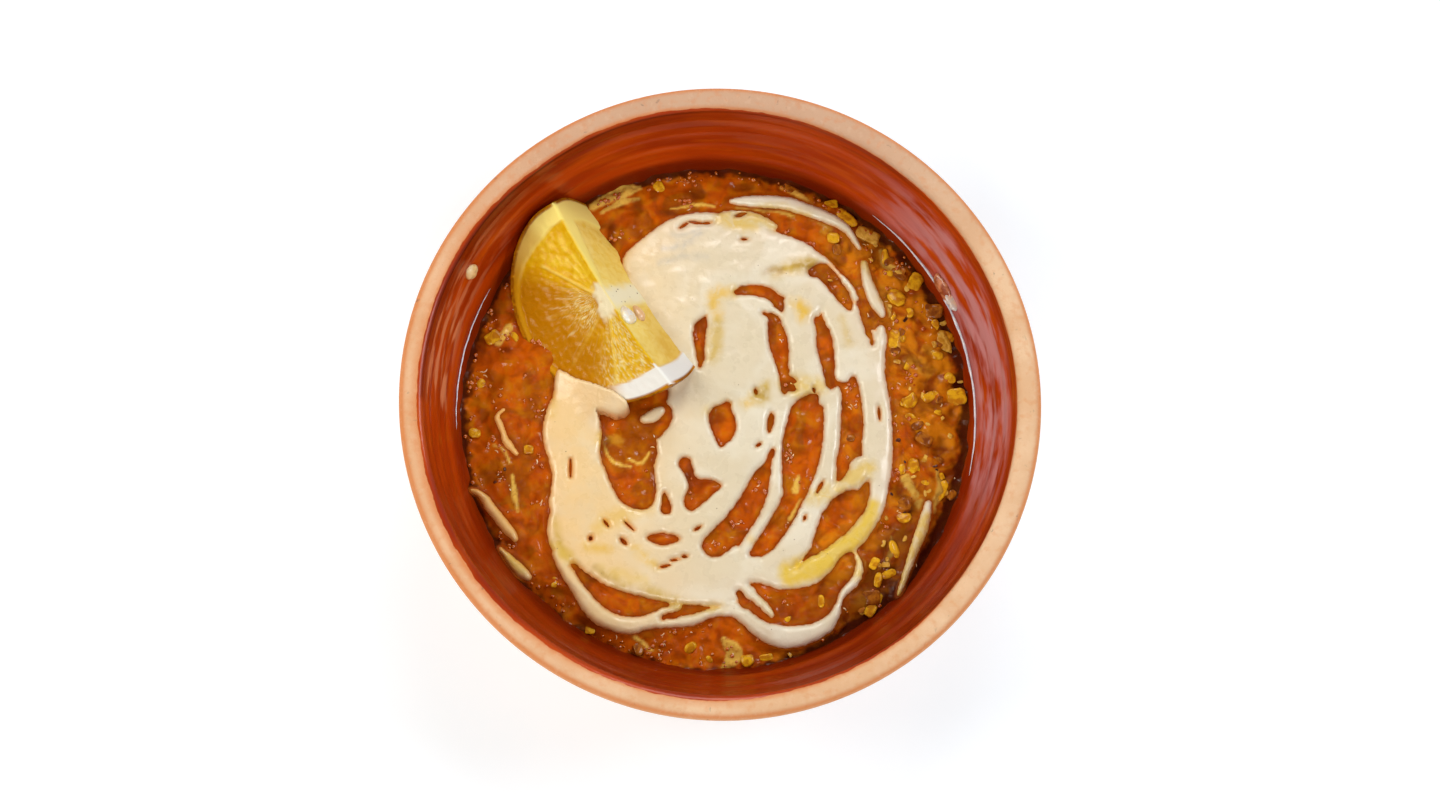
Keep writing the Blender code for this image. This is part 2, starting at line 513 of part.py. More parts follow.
# Height of the dal: level with the dome under the cream, hollowed where it is bare
def surface_height(cream_map, x, y):
    bare = min(max(-cream_map.at(cream_map.all, x, y) / (2.5 * MM), 0), 1)
    sunk = EDGE_SINK * min(max((math.hypot(x, y) / inner_radius(DAL_EDGE_HEIGHT) - 0.88) / 0.12, 0), 1)
    heap_x, heap_y, heap_width, heap_height = (value * MM for value in HEAP)
    heap = heap_height * math.exp(-(math.hypot(x - heap_x, y - heap_y) / heap_width) ** 2)
    return dome(x, y) - bare * (hollow(x, y) + sunk - heap)


def dal(cream_map, material):
    shape = bmesh.new()
    rings = turned_rings(shape, inside_profile(DAL_EDGE_HEIGHT, 3, DAL_RINGS - 2, GAP))
    edge = [Vector(v.co.xy) for v in rings[0]]
    reach = inner_radius(DAL_EDGE_HEIGHT)
    loose = []
    for row, column, p in hexagonal(reach, DAL_SPACING):
        depth = cream_map.at(cream_map.all, p.x, p.y)
        sparse = row % COVERED_SPACING == 0 and column % COVERED_SPACING == 0
        if p.length < reach - 0.6 * DAL_SPACING and (depth < DAL_SPACING / 2 or sparse):
            loose.append(p)
    points, faces = filled([edge], loose, lambda x, y: True)
    surface = list(rings[0])
    for p in points[len(edge):]:
        surface.append(shape.verts.new((p.x, p.y, surface_height(cream_map, p.x, p.y))))
    for corners in faces:
        shape.faces.new([surface[k] for k in corners])
    return place("dal", shape, material)


# Joins the larger lentils and vegetable pieces to the dal, clear of the cream
def add_pieces(body, cream_map, material):
    group = bpy.data.collections.new("pieces in the dal")
    for k, values in enumerate(PIECES):
        x, y = ((value + middle) * MM for value, middle in zip(values, SERVING))
        length, width = values[2] * MM, values[3] * MM
        height = PIECE_HEIGHT * width
        wall = inner_radius(DAL_EDGE_HEIGHT - height) - 2 * GAP - length / 2
        inward = min(wall / math.hypot(x, y), 1)
        x, y = x * inward, y * inward
        turn = math.radians(values[4])
        tip = length / 2 * math.cos(turn), length / 2 * math.sin(turn)
        near = [cream_map.at(cream_map.all, x + end * tip[0], y + end * tip[1]) for end in (-1, 1)]
        if max(*near, cream_map.at(cream_map.all, x, y) + width / 2) > -2 * GAP:
            continue
        middle = min(dome(x, y) - PIECE_SUNK * height, surface_height(cream_map, x, y) + PIECE_LIFT * height)
        shape = bmesh.new()
        size = Matrix.Diagonal((length / 2, width / 2, height / 2, 1))
        spot = Matrix.Translation((x, y, middle)) @ Matrix.Rotation(turn, 4, "Z") @ size
        bmesh.ops.create_uvsphere(shape, u_segments=8, v_segments=5, radius=1, matrix=spot)
        piece = place(f"piece {k}", shape, material)
        bpy.context.scene.collection.objects.unlink(piece)
        group.objects.link(piece)
    boolean(body, "UNION", collection=group, solver="MANIFOLD")
    apply_all(body)
    for piece in list(group.objects):
        bpy.data.objects.remove(piece)
    bpy.data.collections.remove(group)


# The body of the quarter lemon: grow makes the larger one that is cut out of the dal and the cream
def lemon_body(shape, grow=0.0):
    ridge, left, across, along = lemon_frame()
    middle = LEMON_CENTRE - 1.2 * grow * (across + along)
    radius = LEMON_RADIUS + 2 * grow
    length = LEMON_LENGTH + 2 * grow
    sink = 0 if grow else FLESH_SINK
    shares = [1, 1 - RIND / radius, 1 - PITH / radius, 0.45, CORE_RADIUS / radius]
    angles = np.radians(np.linspace(0, 180, 17))
    tilts = np.radians(np.linspace(0, 90, 8))

    def point(a, b, c):
        bend = RIDGE_BEND * (a / radius) ** 2 * math.exp(-(b * b + c * c) / BEND_FADE ** 2)
        twisted = Matrix.Rotation(LENGTH_TWIST * a / radius, 3, ridge) @ along
        return shape.verts.new(middle + ridge * a + across * b * WHEEL_WIDTH + twisted * c - left * bend)

    def deep(tilt):
        return length * math.sin(tilt) ** BLUNTNESS

    def sheet(rows):
        for low, high in zip(rows, rows[1:]):
            for k in range(len(low) - 1):
                corners = (low[k], low[k + 1], high[k + 1], high[k])
                shape.faces.new(corners)

    def sunk(share, away):
        pulp = share <= 1 - PITH / radius and share * radius > CORE_RADIUS
        return sink * min(away / (2 * MM), 1) if pulp else 0

    sheet([[point(radius * math.cos(t) * math.cos(s), radius * math.cos(t) * math.sin(s), deep(t))
            for s in angles] for t in tilts])
    sheet([[point(radius * share * math.cos(s), radius * share * math.sin(s),
                  sunk(share, radius * share * math.sin(s))) for s in angles] for share in shares + [0]])
    sheet([[point(radius * share * math.cos(t), sunk(abs(share), deep(t) * math.cos(t)), deep(t))
            for t in tilts] for share in shares + [0] + [-s for s in reversed(shares)]])
    bmesh.ops.remove_doubles(shape, verts=shape.verts, dist=0.002 * MM)
    bmesh.ops.dissolve_degenerate(shape, edges=shape.edges, dist=0.001 * MM)
    bmesh.ops.triangulate(shape, faces=[f for f in shape.faces if len(f.verts) > 3])


def lemon(material):
    shape = bmesh.new()
    lemon_body(shape)
    body = place("lemon_wedge", shape, material, 25)
    ridge, left, across, along = lemon_frame()
    group = bpy.data.collections.new("seeds")
    turn = Matrix((ridge, ridge.cross(along), along)).transposed().to_4x4()
    for k, values in enumerate(SEEDS):
        down_ridge, down_cut, length, width = (value * MM for value in values)
        shape = bmesh.new()
        spot = Matrix.Translation(LEMON_CENTRE + ridge * down_ridge + along * down_cut)
        size = Matrix.Diagonal((length / 2, SEED_HEIGHT / 2, width / 2, 1))
        bmesh.ops.create_uvsphere(shape, u_segments=8, v_segments=6, radius=1, matrix=spot @ turn @ size)
        seed = place(f"seed {k}", shape, material)
        bpy.context.scene.collection.objects.unlink(seed)
        group.objects.link(seed)
    boolean(body, "UNION", collection=group, solver="MANIFOLD")
    apply_all(body)
    for seed in list(group.objects):
        bpy.data.objects.remove(seed)
    bpy.data.collections.remove(group)
    return body


# The shape that keeps the dal and the cream clear of the lemon
def lemon_cutter(material):
    shape = bmesh.new()
    lemon_body(shape, GAP)
    cutter = place("lemon clearance", shape, material)
    cutter.hide_render = True
    cutter.display_type = "WIRE"
    return cutter


def main():
    for thing in list(bpy.data.objects):
        bpy.data.objects.remove(thing)
    clay = slot("glazed clay", (0.42, 0.09, 0.015), 0.3)
    lentils = slot("lentil dal", (0.46, 0.12, 0.008), 0.35)
    dairy = slot("cream", (0.80, 0.70, 0.50), 0.35)
    citrus = slot("lemon", (0.80, 0.48, 0.03), 0.4)
    cream_map = CreamMap()
    bowl(clay)
    cutter = lemon_cutter(citrus)
    body = dal(cream_map, lentils)
    add_pieces(body, cream_map, lentils)
    boolean(body, "DIFFERENCE", cutter)
    swirl = cream("cream_swirl", cream_map.swirl, cream_map, dairy, on_lemon=True)
    boolean(swirl, "DIFFERENCE", cutter)
    for name, field in cream_map.streaks.items():
        cream(name, field, cream_map, dairy)
    lemon(citrus)


main()
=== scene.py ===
import math

import bpy
import numpy as np
from mathutils import Matrix, Vector, noise


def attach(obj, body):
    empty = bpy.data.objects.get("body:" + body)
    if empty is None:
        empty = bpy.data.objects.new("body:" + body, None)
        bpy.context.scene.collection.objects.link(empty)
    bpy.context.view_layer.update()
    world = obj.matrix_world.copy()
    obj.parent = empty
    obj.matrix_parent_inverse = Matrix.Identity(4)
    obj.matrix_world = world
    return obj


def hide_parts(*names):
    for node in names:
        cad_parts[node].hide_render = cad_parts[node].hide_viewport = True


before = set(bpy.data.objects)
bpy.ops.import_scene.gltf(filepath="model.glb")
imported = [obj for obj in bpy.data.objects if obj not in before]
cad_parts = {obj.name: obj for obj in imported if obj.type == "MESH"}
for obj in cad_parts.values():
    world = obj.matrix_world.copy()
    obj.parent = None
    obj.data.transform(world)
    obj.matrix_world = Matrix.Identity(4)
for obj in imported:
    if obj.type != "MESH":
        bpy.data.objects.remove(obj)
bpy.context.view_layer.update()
mm = 0.001


# A colour as a screen gives it, from 0 to 255
def tone(red, green, blue):
    parts = [c / 255 for c in (red, green, blue)]
    return tuple(c / 12.92 if c <= 0.04045 else ((c + 0.055) / 1.055) ** 2.4 for c in parts) + (1,)


# A socket that can be used in sums; every sum adds its Math node
class Wire:
    def __init__(self, nodes, socket):
        self.nodes, self.socket = nodes, socket

    def sum(self, operation, first, second):
        return self.nodes.node("ShaderNodeMath", {"operation": operation}, {0: first, 1: second})

    def __add__(self, other):
        return self.sum("ADD", self, other)

    def __radd__(self, other):
        return self.sum("ADD", other, self)

    def __sub__(self, other):
        return self.sum("SUBTRACT", self, other)

    def __rsub__(self, other):
        return self.sum("SUBTRACT", other, self)

    def __mul__(self, other):
        return self.sum("MULTIPLY", self, other)

    def __rmul__(self, other):
        return self.sum("MULTIPLY", other, self)


# Any node: its type, its settings, the values or links of its sockets, and the output that is used
class Nodes:
    def __init__(self, tree):
        self.tree = tree

    def node(self, kind, settings=None, sockets=None, out=0):
        made = self.tree.nodes.new(kind)
        for key, value in (settings or {}).items():
            setattr(made, key, value)
        for key, value in (sockets or {}).items():
            if isinstance(value, Wire):
                self.tree.links.new(value.socket, made.inputs[key])
            else:
                made.inputs[key].default_value = value
        return Wire(self, made.outputs[out])

    def fade(self, value, low, high, start=0.0, end=1.0):
        return self.node("ShaderNodeMapRange", {"interpolation_type": "SMOOTHSTEP"}, {
            "Value": value, "From Min": low, "From Max": high, "To Min": start, "To Max": end})

    def mix(self, share, first, second):
        return self.node("ShaderNodeMix", {"data_type": "RGBA"}, {0: share, 6: first, 7: second}, 2)

    # Tones laid over a colour one after another: the share and the name of each
    def layers(self, colour, tones, *laid):
        for share, name in laid:
            colour = self.mix(share, colour, tones[name])
        return colour


# A material: the values that are the same all over, then the links to what changes over the surface
class Finish(Nodes):
    def __init__(self, name, **fixed):
        self.material = bpy.data.materials.new(name)
        self.material.use_nodes = True
        super().__init__(self.material.node_tree)
        self.shader = self.tree.nodes["Principled BSDF"]
        for key, value in fixed.items():
            self.shader.inputs[key.replace("_", " ")].default_value = value

    def set(self, **links):
        for key, value in links.items():
            self.tree.links.new(value.socket, self.shader.inputs[key.replace("_", " ")])

    def mask(self, name):
        return self.node("ShaderNodeAttribute", {"attribute_name": name}, out="Fac")

    def place(self, stretch=(1, 1, 1)):
        here = self.node("ShaderNodeTexCoord", out="Object")
        return self.node("ShaderNodeVectorMath", {"operation": "MULTIPLY"}, {0: here, 1: stretch})

    def noise(self, size, detail=3, distortion=0.0, stretch=(1, 1, 1)):
        sockets = {"Vector": self.place(stretch), "Scale": 1 / (size * mm)}
        sockets.update({"Detail": detail, "Distortion": distortion})
        return self.node("ShaderNodeTexNoise", None, sockets)

    def cells(self, size):
        sockets = {"Vector": self.place(), "Scale": 1 / (size * mm)}
        return self.node("ShaderNodeTexVoronoi", None, sockets, "Distance")

    def bump(self, height, depth, after=None):
        sockets = {"Height": height, "Distance": depth * mm, "Strength": 1.0}
        if after:
            sockets["Normal"] = after
        return self.node("ShaderNodeBump", None, sockets)


# Meshes are built in millimetres; each mask is a number at every point that a finish reads
def addMesh(name, points, faces, finish, masks):
    mesh = bpy.data.meshes.new(name)
    mesh.from_pydata((np.asarray(points, float) * mm).tolist(), [], faces)
    mesh.update()
    for key, values in masks.items():
        layer = mesh.attributes.new(key, "FLOAT", "POINT")
        layer.data.foreach_set("value", np.asarray(values, np.float32))
    mesh.polygons.foreach_set("use_smooth", [True] * len(mesh.polygons))
    mesh.materials.append(finish.material)
    made = bpy.data.objects.new(name, mesh)
    bpy.context.scene.collection.objects.link(made)
    return made


def addPiece(name, points, faces, finish, nodes, masks):
    piece = addMesh(name, points, faces, finish, masks)
    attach(piece, "root")
    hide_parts(*nodes)


# Keeps one of the points that lie in one place
def weld(points, faces, masks):
    keys = np.round(points / 0.002).astype(np.int64)
    _, first, back = np.unique(keys, axis=0, return_index=True, return_inverse=True)
    back = back.reshape(-1)
    joined = []
    for face in faces:
        corners = list(dict.fromkeys(int(back[k]) for k in face))
        if len(corners) > 2:
            joined.append(corners)
    return points[first], joined, {key: values[first] for key, values in masks.items()}


# Faces between rows of points that each close into a ring
def ringFaces(rows, columns):
    number = np.arange(rows * columns).reshape(rows, columns)
    ahead = np.roll(number, -1, 1)
    return np.stack([number[:-1], ahead[:-1], ahead[1:], number[1:]], -1).reshape(-1, 4).tolist()


# Angles of a ball's points, from end to end and around, and its faces
def ball(rows, columns):
    around = np.linspace(0, math.tau, columns + 1)[:-1]
    u, v = np.meshgrid(np.linspace(0, math.pi, rows), around, indexing="ij")
    return u, v, ringFaces(rows, columns)


# Small shapes gathered into one mesh
class Gathered:
    def __init__(self):
        self.points, self.faces, self.masks, self.count = [], [], {}, 0

    def add(self, x, y, z, faces, **masks):
        spots = np.stack([x, y, z], -1).reshape(-1, 3)
        spots, joined, kept = weld(spots, faces, {key: values.reshape(-1) for key, values in masks.items()})
        self.points.append(spots)
        self.faces += [[self.count + c for c in face] for face in joined]
        for key, values in kept.items():
            self.masks.setdefault(key, []).append(values)
        self.count += len(spots)

    def finishPiece(self, name, finish, slot, nodes):
        masks = {key: np.concatenate(values) for key, values in self.masks.items()}
        addPiece(name, np.concatenate(self.points), self.faces, finish, nodes, masks)


# Points of a shape turned in plan and set down at a place
def turned(x, y, px, py, turn):
    return x + px * math.cos(turn) - py * math.sin(turn), y + px * math.sin(turn) + py * math.cos(turn)


# Smooth random heights from about -1 to 1
def ripple(x, y, size, seed):
    turns = np.random.default_rng(seed).random((256, 256)) * math.tau
    u, v = x / size + 512, y / size + 512
    i, j = np.floor(u).astype(int), np.floor(v).astype(int)
    fu, fv = u - i, v - j
    su, sv = (f * f * f * (f * (f * 6 - 15) + 10) for f in (fu, fv))
    total = 0
    for di in (0, 1):
        for dj in (0, 1):
            turn = turns[(i + di) % 256, (j + dj) % 256]
            slope = np.cos(turn) * (fu - di) + np.sin(turn) * (fv - dj)
            total = total + slope * (su if di else 1 - su) * (sv if dj else 1 - sv)
    return total * 1.6


def ease(value, low, high):
    t = np.clip((value - low) / (high - low), 0, 1)
    return t * t * (3 - 2 * t)


# The level grid on which the dal and the cream are shaped
cell = 0.47
reach = 79
axis = np.arange(-reach, reach + cell, cell)
gridX, gridY = np.meshgrid(axis, axis, indexing="ij")
gridR = np.hypot(gridX, gridY)
gridBearing = np.degrees(np.arctan2(gridY, gridX))


def waves(size, seed):
    return ripple(gridX, gridY, size, seed)


def readGrid(field, x, y):
    i = np.clip((np.asarray(x, float) + reach) / cell, 0, len(axis) - 1.001)
    j = np.clip((np.asarray(y, float) + reach) / cell, 0, len(axis) - 1.001)
    i0, j0 = i.astype(int), j.astype(int)
    s, t = i - i0, j - j0
    low = field[i0, j0] * (1 - s) + field[i0 + 1, j0] * s
    high = field[i0, j0 + 1] * (1 - s) + field[i0 + 1, j0 + 1] * s
    return low * (1 - t) + high * t


def soften(field, times):
    for _ in range(times):
        padded = np.pad(field, 1, mode="edge")
        field = (4 * field + 2 * (padded[:-2, 1:-1] + padded[2:, 1:-1] + padded[1:-1, :-2] + padded[1:-1, 2:])
                 + padded[:-2, :-2] + padded[2:, 2:] + padded[:-2, 2:] + padded[2:, :-2]) / 16
    return field


# A sheet over the part of the grid where a field is above nothing; its edge follows the field's outline.
# Points are grid points inside, then the crossings of the outline.
def clippedSheet(field):
    inside = field > 0
    number = np.full(field.shape, -1)
    number[inside] = np.arange(inside.sum())
    x, y = [gridX[inside]], [gridY[inside]]
    count = int(inside.sum())
    crossings = []
    for di, dj in ((1, 0), (0, 1)):
        a = field[:field.shape[0] - di, :field.shape[1] - dj]
        b = field[di:, dj:]
        crossed = (a > 0) != (b > 0)
        ids = np.full(a.shape, -1)
        ids[crossed] = count + np.arange(crossed.sum())
        count += int(crossed.sum())
        share = np.clip(a[crossed] / (a[crossed] - b[crossed]), 0.04, 0.96)
        x.append(gridX[:a.shape[0], :a.shape[1]][crossed] + share * cell * di)
        y.append(gridY[:a.shape[0], :a.shape[1]][crossed] + share * cell * dj)
        crossings.append(ids)
    corner = [inside[:-1, :-1], inside[1:, :-1], inside[1:, 1:], inside[:-1, 1:]]
    numbers = [number[:-1, :-1], number[1:, :-1], number[1:, 1:], number[:-1, 1:]]
    sides = [crossings[0][:, :-1], crossings[1][1:, :], crossings[0][:, 1:], crossings[1][:-1, :]]
    case = sum(c.astype(int) << k for k, c in enumerate(corner))
    faces = []
    for pattern in range(1, 16):
        chosen = case == pattern
        if not chosen.any():
            continue
        columns = []
        for k in range(4):
            if pattern >> k & 1:
                columns.append(numbers[k][chosen])
            if (pattern >> k & 1) != (pattern >> (k + 1) % 4 & 1):
                columns.append(sides[k][chosen])
        faces += np.stack(columns, 1).tolist()
    return np.concatenate(x), np.concatenate(y), int(inside.sum()), faces


print("building blocks ready")

# The bowl, from its foot up; lipRoll holds steps out from the mouth and down from the top
bowlShape = {
    "rim": 90, "height": 60, "foot": 54, "footEdge": 1.2, "footRing": 6, "mouth": 83.2, "lip": 3, "floor": 8,
    "floorRadius": 50, "corner": 18, "cornerPull": 5, "lean": 22.6, "outerBulge": 2.2, "innerBulge": 1.6,
    "lipRoll": ((2.2, 0.02), (1.5, 0.1), (0.9, 0.28), (0.45, 0.6)), "turns": 256, "ridges": 0.22,
    "outsideRidges": 0.25,
}
bowlTones = {
    "glaze": tone(188, 64, 2), "deepGlaze": tone(152, 40, 1), "warmGlaze": tone(206, 88, 4),
    "shadedGlaze": tone(88, 16, 1), "rightSheen": tone(202, 138, 140), "sheen": tone(228, 146, 100),
    "clay": tone(222, 178, 138), "paleClay": tone(232, 195, 158), "chalk": tone(240, 212, 186),
    "firedAndWarmLight": tone(216, 132, 74), "backShade": tone(198, 158, 132), "soot": tone(112, 92, 84),
}


def outerRadius(z):
    b = bowlShape
    down = np.maximum(1 - z / (b["height"] - b["lip"]), 0)
    return b["rim"] - (b["rim"] - b["foot"]) * down ** b["outerBulge"]


def innerRadius(z):
    b = bowlShape
    down = np.maximum(b["height"] - z, 0) / (b["height"] - b["floor"])
    return b["mouth"] - b["lean"] * down ** b["innerBulge"]


def bowlFinish():
    t = bowlTones
    f = Finish("glazed clay", Specular_IOR_Level=0.1, Coat_Roughness=0.12, Coat_IOR=1.5)
    glazed = f.fade(f.mask("glazeDepth") + (f.noise(5, 3) - 0.5) * 1.3, -0.12, 0.14)
    lines = f.noise(34, 1.5, stretch=(1, 1, 6))
    streaks = f.noise(20, 2, stretch=(1, 1, 9))
    glaze = f.layers(
        f.mix(f.fade(lines, 0.34, 0.66, 0.2, 1.0), t["deepGlaze"], t["glaze"]), t,
        (f.fade(streaks, 0.46, 0.78) * 0.5, "warmGlaze"),
        # painted shade: the glaze is darker under the rim, at the front, along the dal and at the upper left
        (f.mask("glazeShade"), "shadedGlaze"),
        # painted reflections: pale streaks on the right wall and warm streaks on the left wall
        (f.mask("rightSheen") * f.fade(f.noise(15, 3, stretch=(1, 1, 4.5)), 0.36, 0.62), "rightSheen"),
        (f.mask("sheen") * f.fade(f.noise(13, 2, stretch=(1, 1, 5)), 0.46, 0.62) * 0.75, "sheen"))
    clay = f.layers(
        f.mix(f.fade(f.noise(14, 4), 0.35, 0.7), t["clay"], t["paleClay"]), t,
        # the rim is painted darker at the back: painted shade
        (f.mask("backShade") * 0.8, "backShade"),
        # the fired colour of the clay, and painted warm light on the left of the rim
        (f.mask("firedAndWarmLight") * 0.85, "firedAndWarmLight"),
        (f.fade(f.noise(2.2, 4), 0.5, 0.72) * 0.28, "firedAndWarmLight"),
        (f.fade(f.noise(1.6, 3), 0.46, 0.3) * 0.1, "chalk"),
        (f.fade(f.noise(2.6, 3, 0.5), 0.66, 0.78) * 0.55, "soot"))
    f.set(Base_Color=f.mix(glazed, clay, glaze),
          Roughness=f.fade(glazed, 0, 1, 0.85, 0.3) + f.noise(2.5, 2) * 0.08,
          Coat_Weight=glazed * (1.0 - f.mask("glazeShade") * 0.8) * 0.4)
    rough = f.bump(f.noise(0.7, 4) * (1.0 - glazed), 0.2)
    f.set(Normal=f.bump(f.noise(12, 1, stretch=(1, 1, 6)), 0.16, rough))
    return f


# The bowl's outline from the middle of the foot, up the outside, over the lip and down to the floor
def bowlOutline():
    b = bowlShape
    lip = b["height"] - b["lip"]
    foot = b["foot"] - b["footEdge"]
    profile = [(0, 0), (foot - b["footRing"], 0), (foot, 0)]
    profile += [(float(outerRadius(z)), z) for z in np.linspace(b["footEdge"], lip, 30)]
    for turn in np.radians(np.linspace(12, 90, 9)):
        profile.append((b["rim"] - b["lip"] + b["lip"] * math.cos(turn), lip + b["lip"] * math.sin(turn)))
    profile += [(b["mouth"] + out, b["height"] - down) for out, down in b["lipRoll"]]
    edge = len(profile)
    heights = [*np.linspace(b["height"] - 1, 28, 90), *np.linspace(27, b["corner"], 6)]
    profile += [(float(innerRadius(z)), z) for z in heights]
    start, end = profile[-1], (b["floorRadius"], b["floor"])
    turn = (float(innerRadius(b["corner"])) - b["cornerPull"], b["floor"])
    for s in np.linspace(0, 1, 8)[1:]:
        profile.append(tuple((1 - s) ** 2 * p + 2 * s * (1 - s) * q + s * s * r
                             for p, q, r in zip(start, turn, end)))
    return np.array(profile + [(0, b["floor"])]), edge


def makeBowl():
    b = bowlShape
    profile, edge = bowlOutline()
    radii, heights = profile.T
    rows, count = len(profile), b["turns"]
    angle = np.arange(count) / count * math.tau
    r = np.repeat(radii[:, None], count, 1)
    z = np.repeat(heights[:, None], count, 1)
    turnX, turnY = np.cos(angle)[None, :] + 0 * r, np.sin(angle)[None, :] + 0 * r
    row = np.arange(rows)[:, None]
    inside = row > edge
    # throwing ridges
    wall = inside * ease(b["height"] - z, 0.8, 3) * ease(z, 20, 30)
    wave = ripple(z + 0.9 * turnX, 2 * turnY + 11, 3.4, 5) + 0.3 * ripple(z, 2 * turnX, 1.6, 6)
    r = r - wall * b["ridges"] * (wave + 0.5)
    outside = (row < edge - 6) * ease(z, 2, 8) * (1 - ease(z, 52, 57))
    r = r - outside * b["outsideRidges"] * (ripple(z, 3 * turnX, 4, 7) + 1)
    # where the glaze starts, and how it changes over the wall; the glaze is painted darker under the rim, at
    # the front, along the dal and at the upper left (painted shade), and paler on the right wall (painted
    # reflection)
    along = np.concatenate([[0], np.cumsum(np.hypot(np.diff(radii), np.diff(heights)))])
    bearing = np.degrees(np.arctan2(turnY, turnX))
    glazeEdge = along[edge - 2] + 0.4 + 2.2 * ease(turnX, -0.2, 0.95) - 1.1 * ease(-turnY, 0.1, 0.8)
    glazeEdge = glazeEdge - 0.8 * ease(-turnX, 0.55, 0.95) + 0.4 * ripple(3 * turnX, 3 * turnY, 1.2, 8)
    glazeDepth = along[:, None] - glazeEdge
    upperLeft = np.exp(-((np.abs(bearing - 140) % 360) / 60) ** 2)
    line = np.exp(-((glazeDepth - 1.5) / 0.8) ** 2) * (0.3 + 0.5 * upperLeft)
    front = 0.42 * ease(-turnY, 0.1, 0.8) * inside
    contact = ease(37.5 - z, 0, 4) * inside * (0.35 + 0.4 * ease(turnY, 0, 1))
    shaded = 0.5 * upperLeft * ease(glazeDepth, 0, 4) * ease(12 - glazeDepth, 0, 8)
    # where the glaze is painted paler on the right wall: painted reflection
    right = ease(turnX, 0.45, 0.9) * (1 - 0.9 * ease(-turnY, 0.15, 0.5))
    # how the clay was fired, and painted warm light on the left of the rim
    firedAndWarmLight = np.exp(-((r - 89.2) / 0.8) ** 2) * (z > 50) + ease(glazeDepth, -1.2, -0.2) * 0.9 * (z > 50)
    firedAndWarmLight = firedAndWarmLight + (1 - ease(z, 30, 54)) * 0.5 * (row < edge)
    firedAndWarmLight = firedAndWarmLight + 0.24 * ease(-turnX, 0.2, 0.9) * (z > 57)
    nearLeft = np.exp(-((np.abs(bearing - 172) % 360) / 24) ** 2)
    masks = {
        # the rim is painted darker at the back: painted shade
        "glazeDepth": glazeDepth, "backShade": ease(turnY, 0.3, 0.95) * (z > 50), "firedAndWarmLight": np.clip(firedAndWarmLight, 0, 1),
        # painted shade where the glaze is darker
        "glazeShade": np.clip(line + contact + front + shaded, 0, 1),
        # pale streaks on the right and left walls: painted reflections
        "rightSheen": right * ease(glazeDepth, 3, 8) * ease(z, 33, 38) * 0.95,
        "sheen": nearLeft * ease(glazeDepth, 4, 8) * ease(z, 37, 41),
    }
    # one point in the middle of the foot, and one in the middle of the floor
    keep = np.ones((rows, count), bool)
    keep[0, 1:] = keep[-1, 1:] = False
    number = np.cumsum(keep.ravel()).reshape(rows, count) - 1
    number[0, :], number[-1, :] = number[0, 0], number[-1, 0]
    faces = []
    for k in range(rows - 1):
        for j in range(count):
            n = (j + 1) % count
            corners = (number[k, j], number[k, n], number[k + 1, n], number[k + 1, j])
            faces.append([int(c) for c in dict.fromkeys(corners)])
    points = np.stack([r * turnX, r * turnY, z], -1)[keep]
    addPiece("thrown_clay_bowl", points, faces, bowlFinish(), ["bowl"],
             {key: values[keep] for key, values in masks.items()})


makeBowl()
print("bowl made")

serving = (0.3, -1.2)               # middle of the serving in the bowl
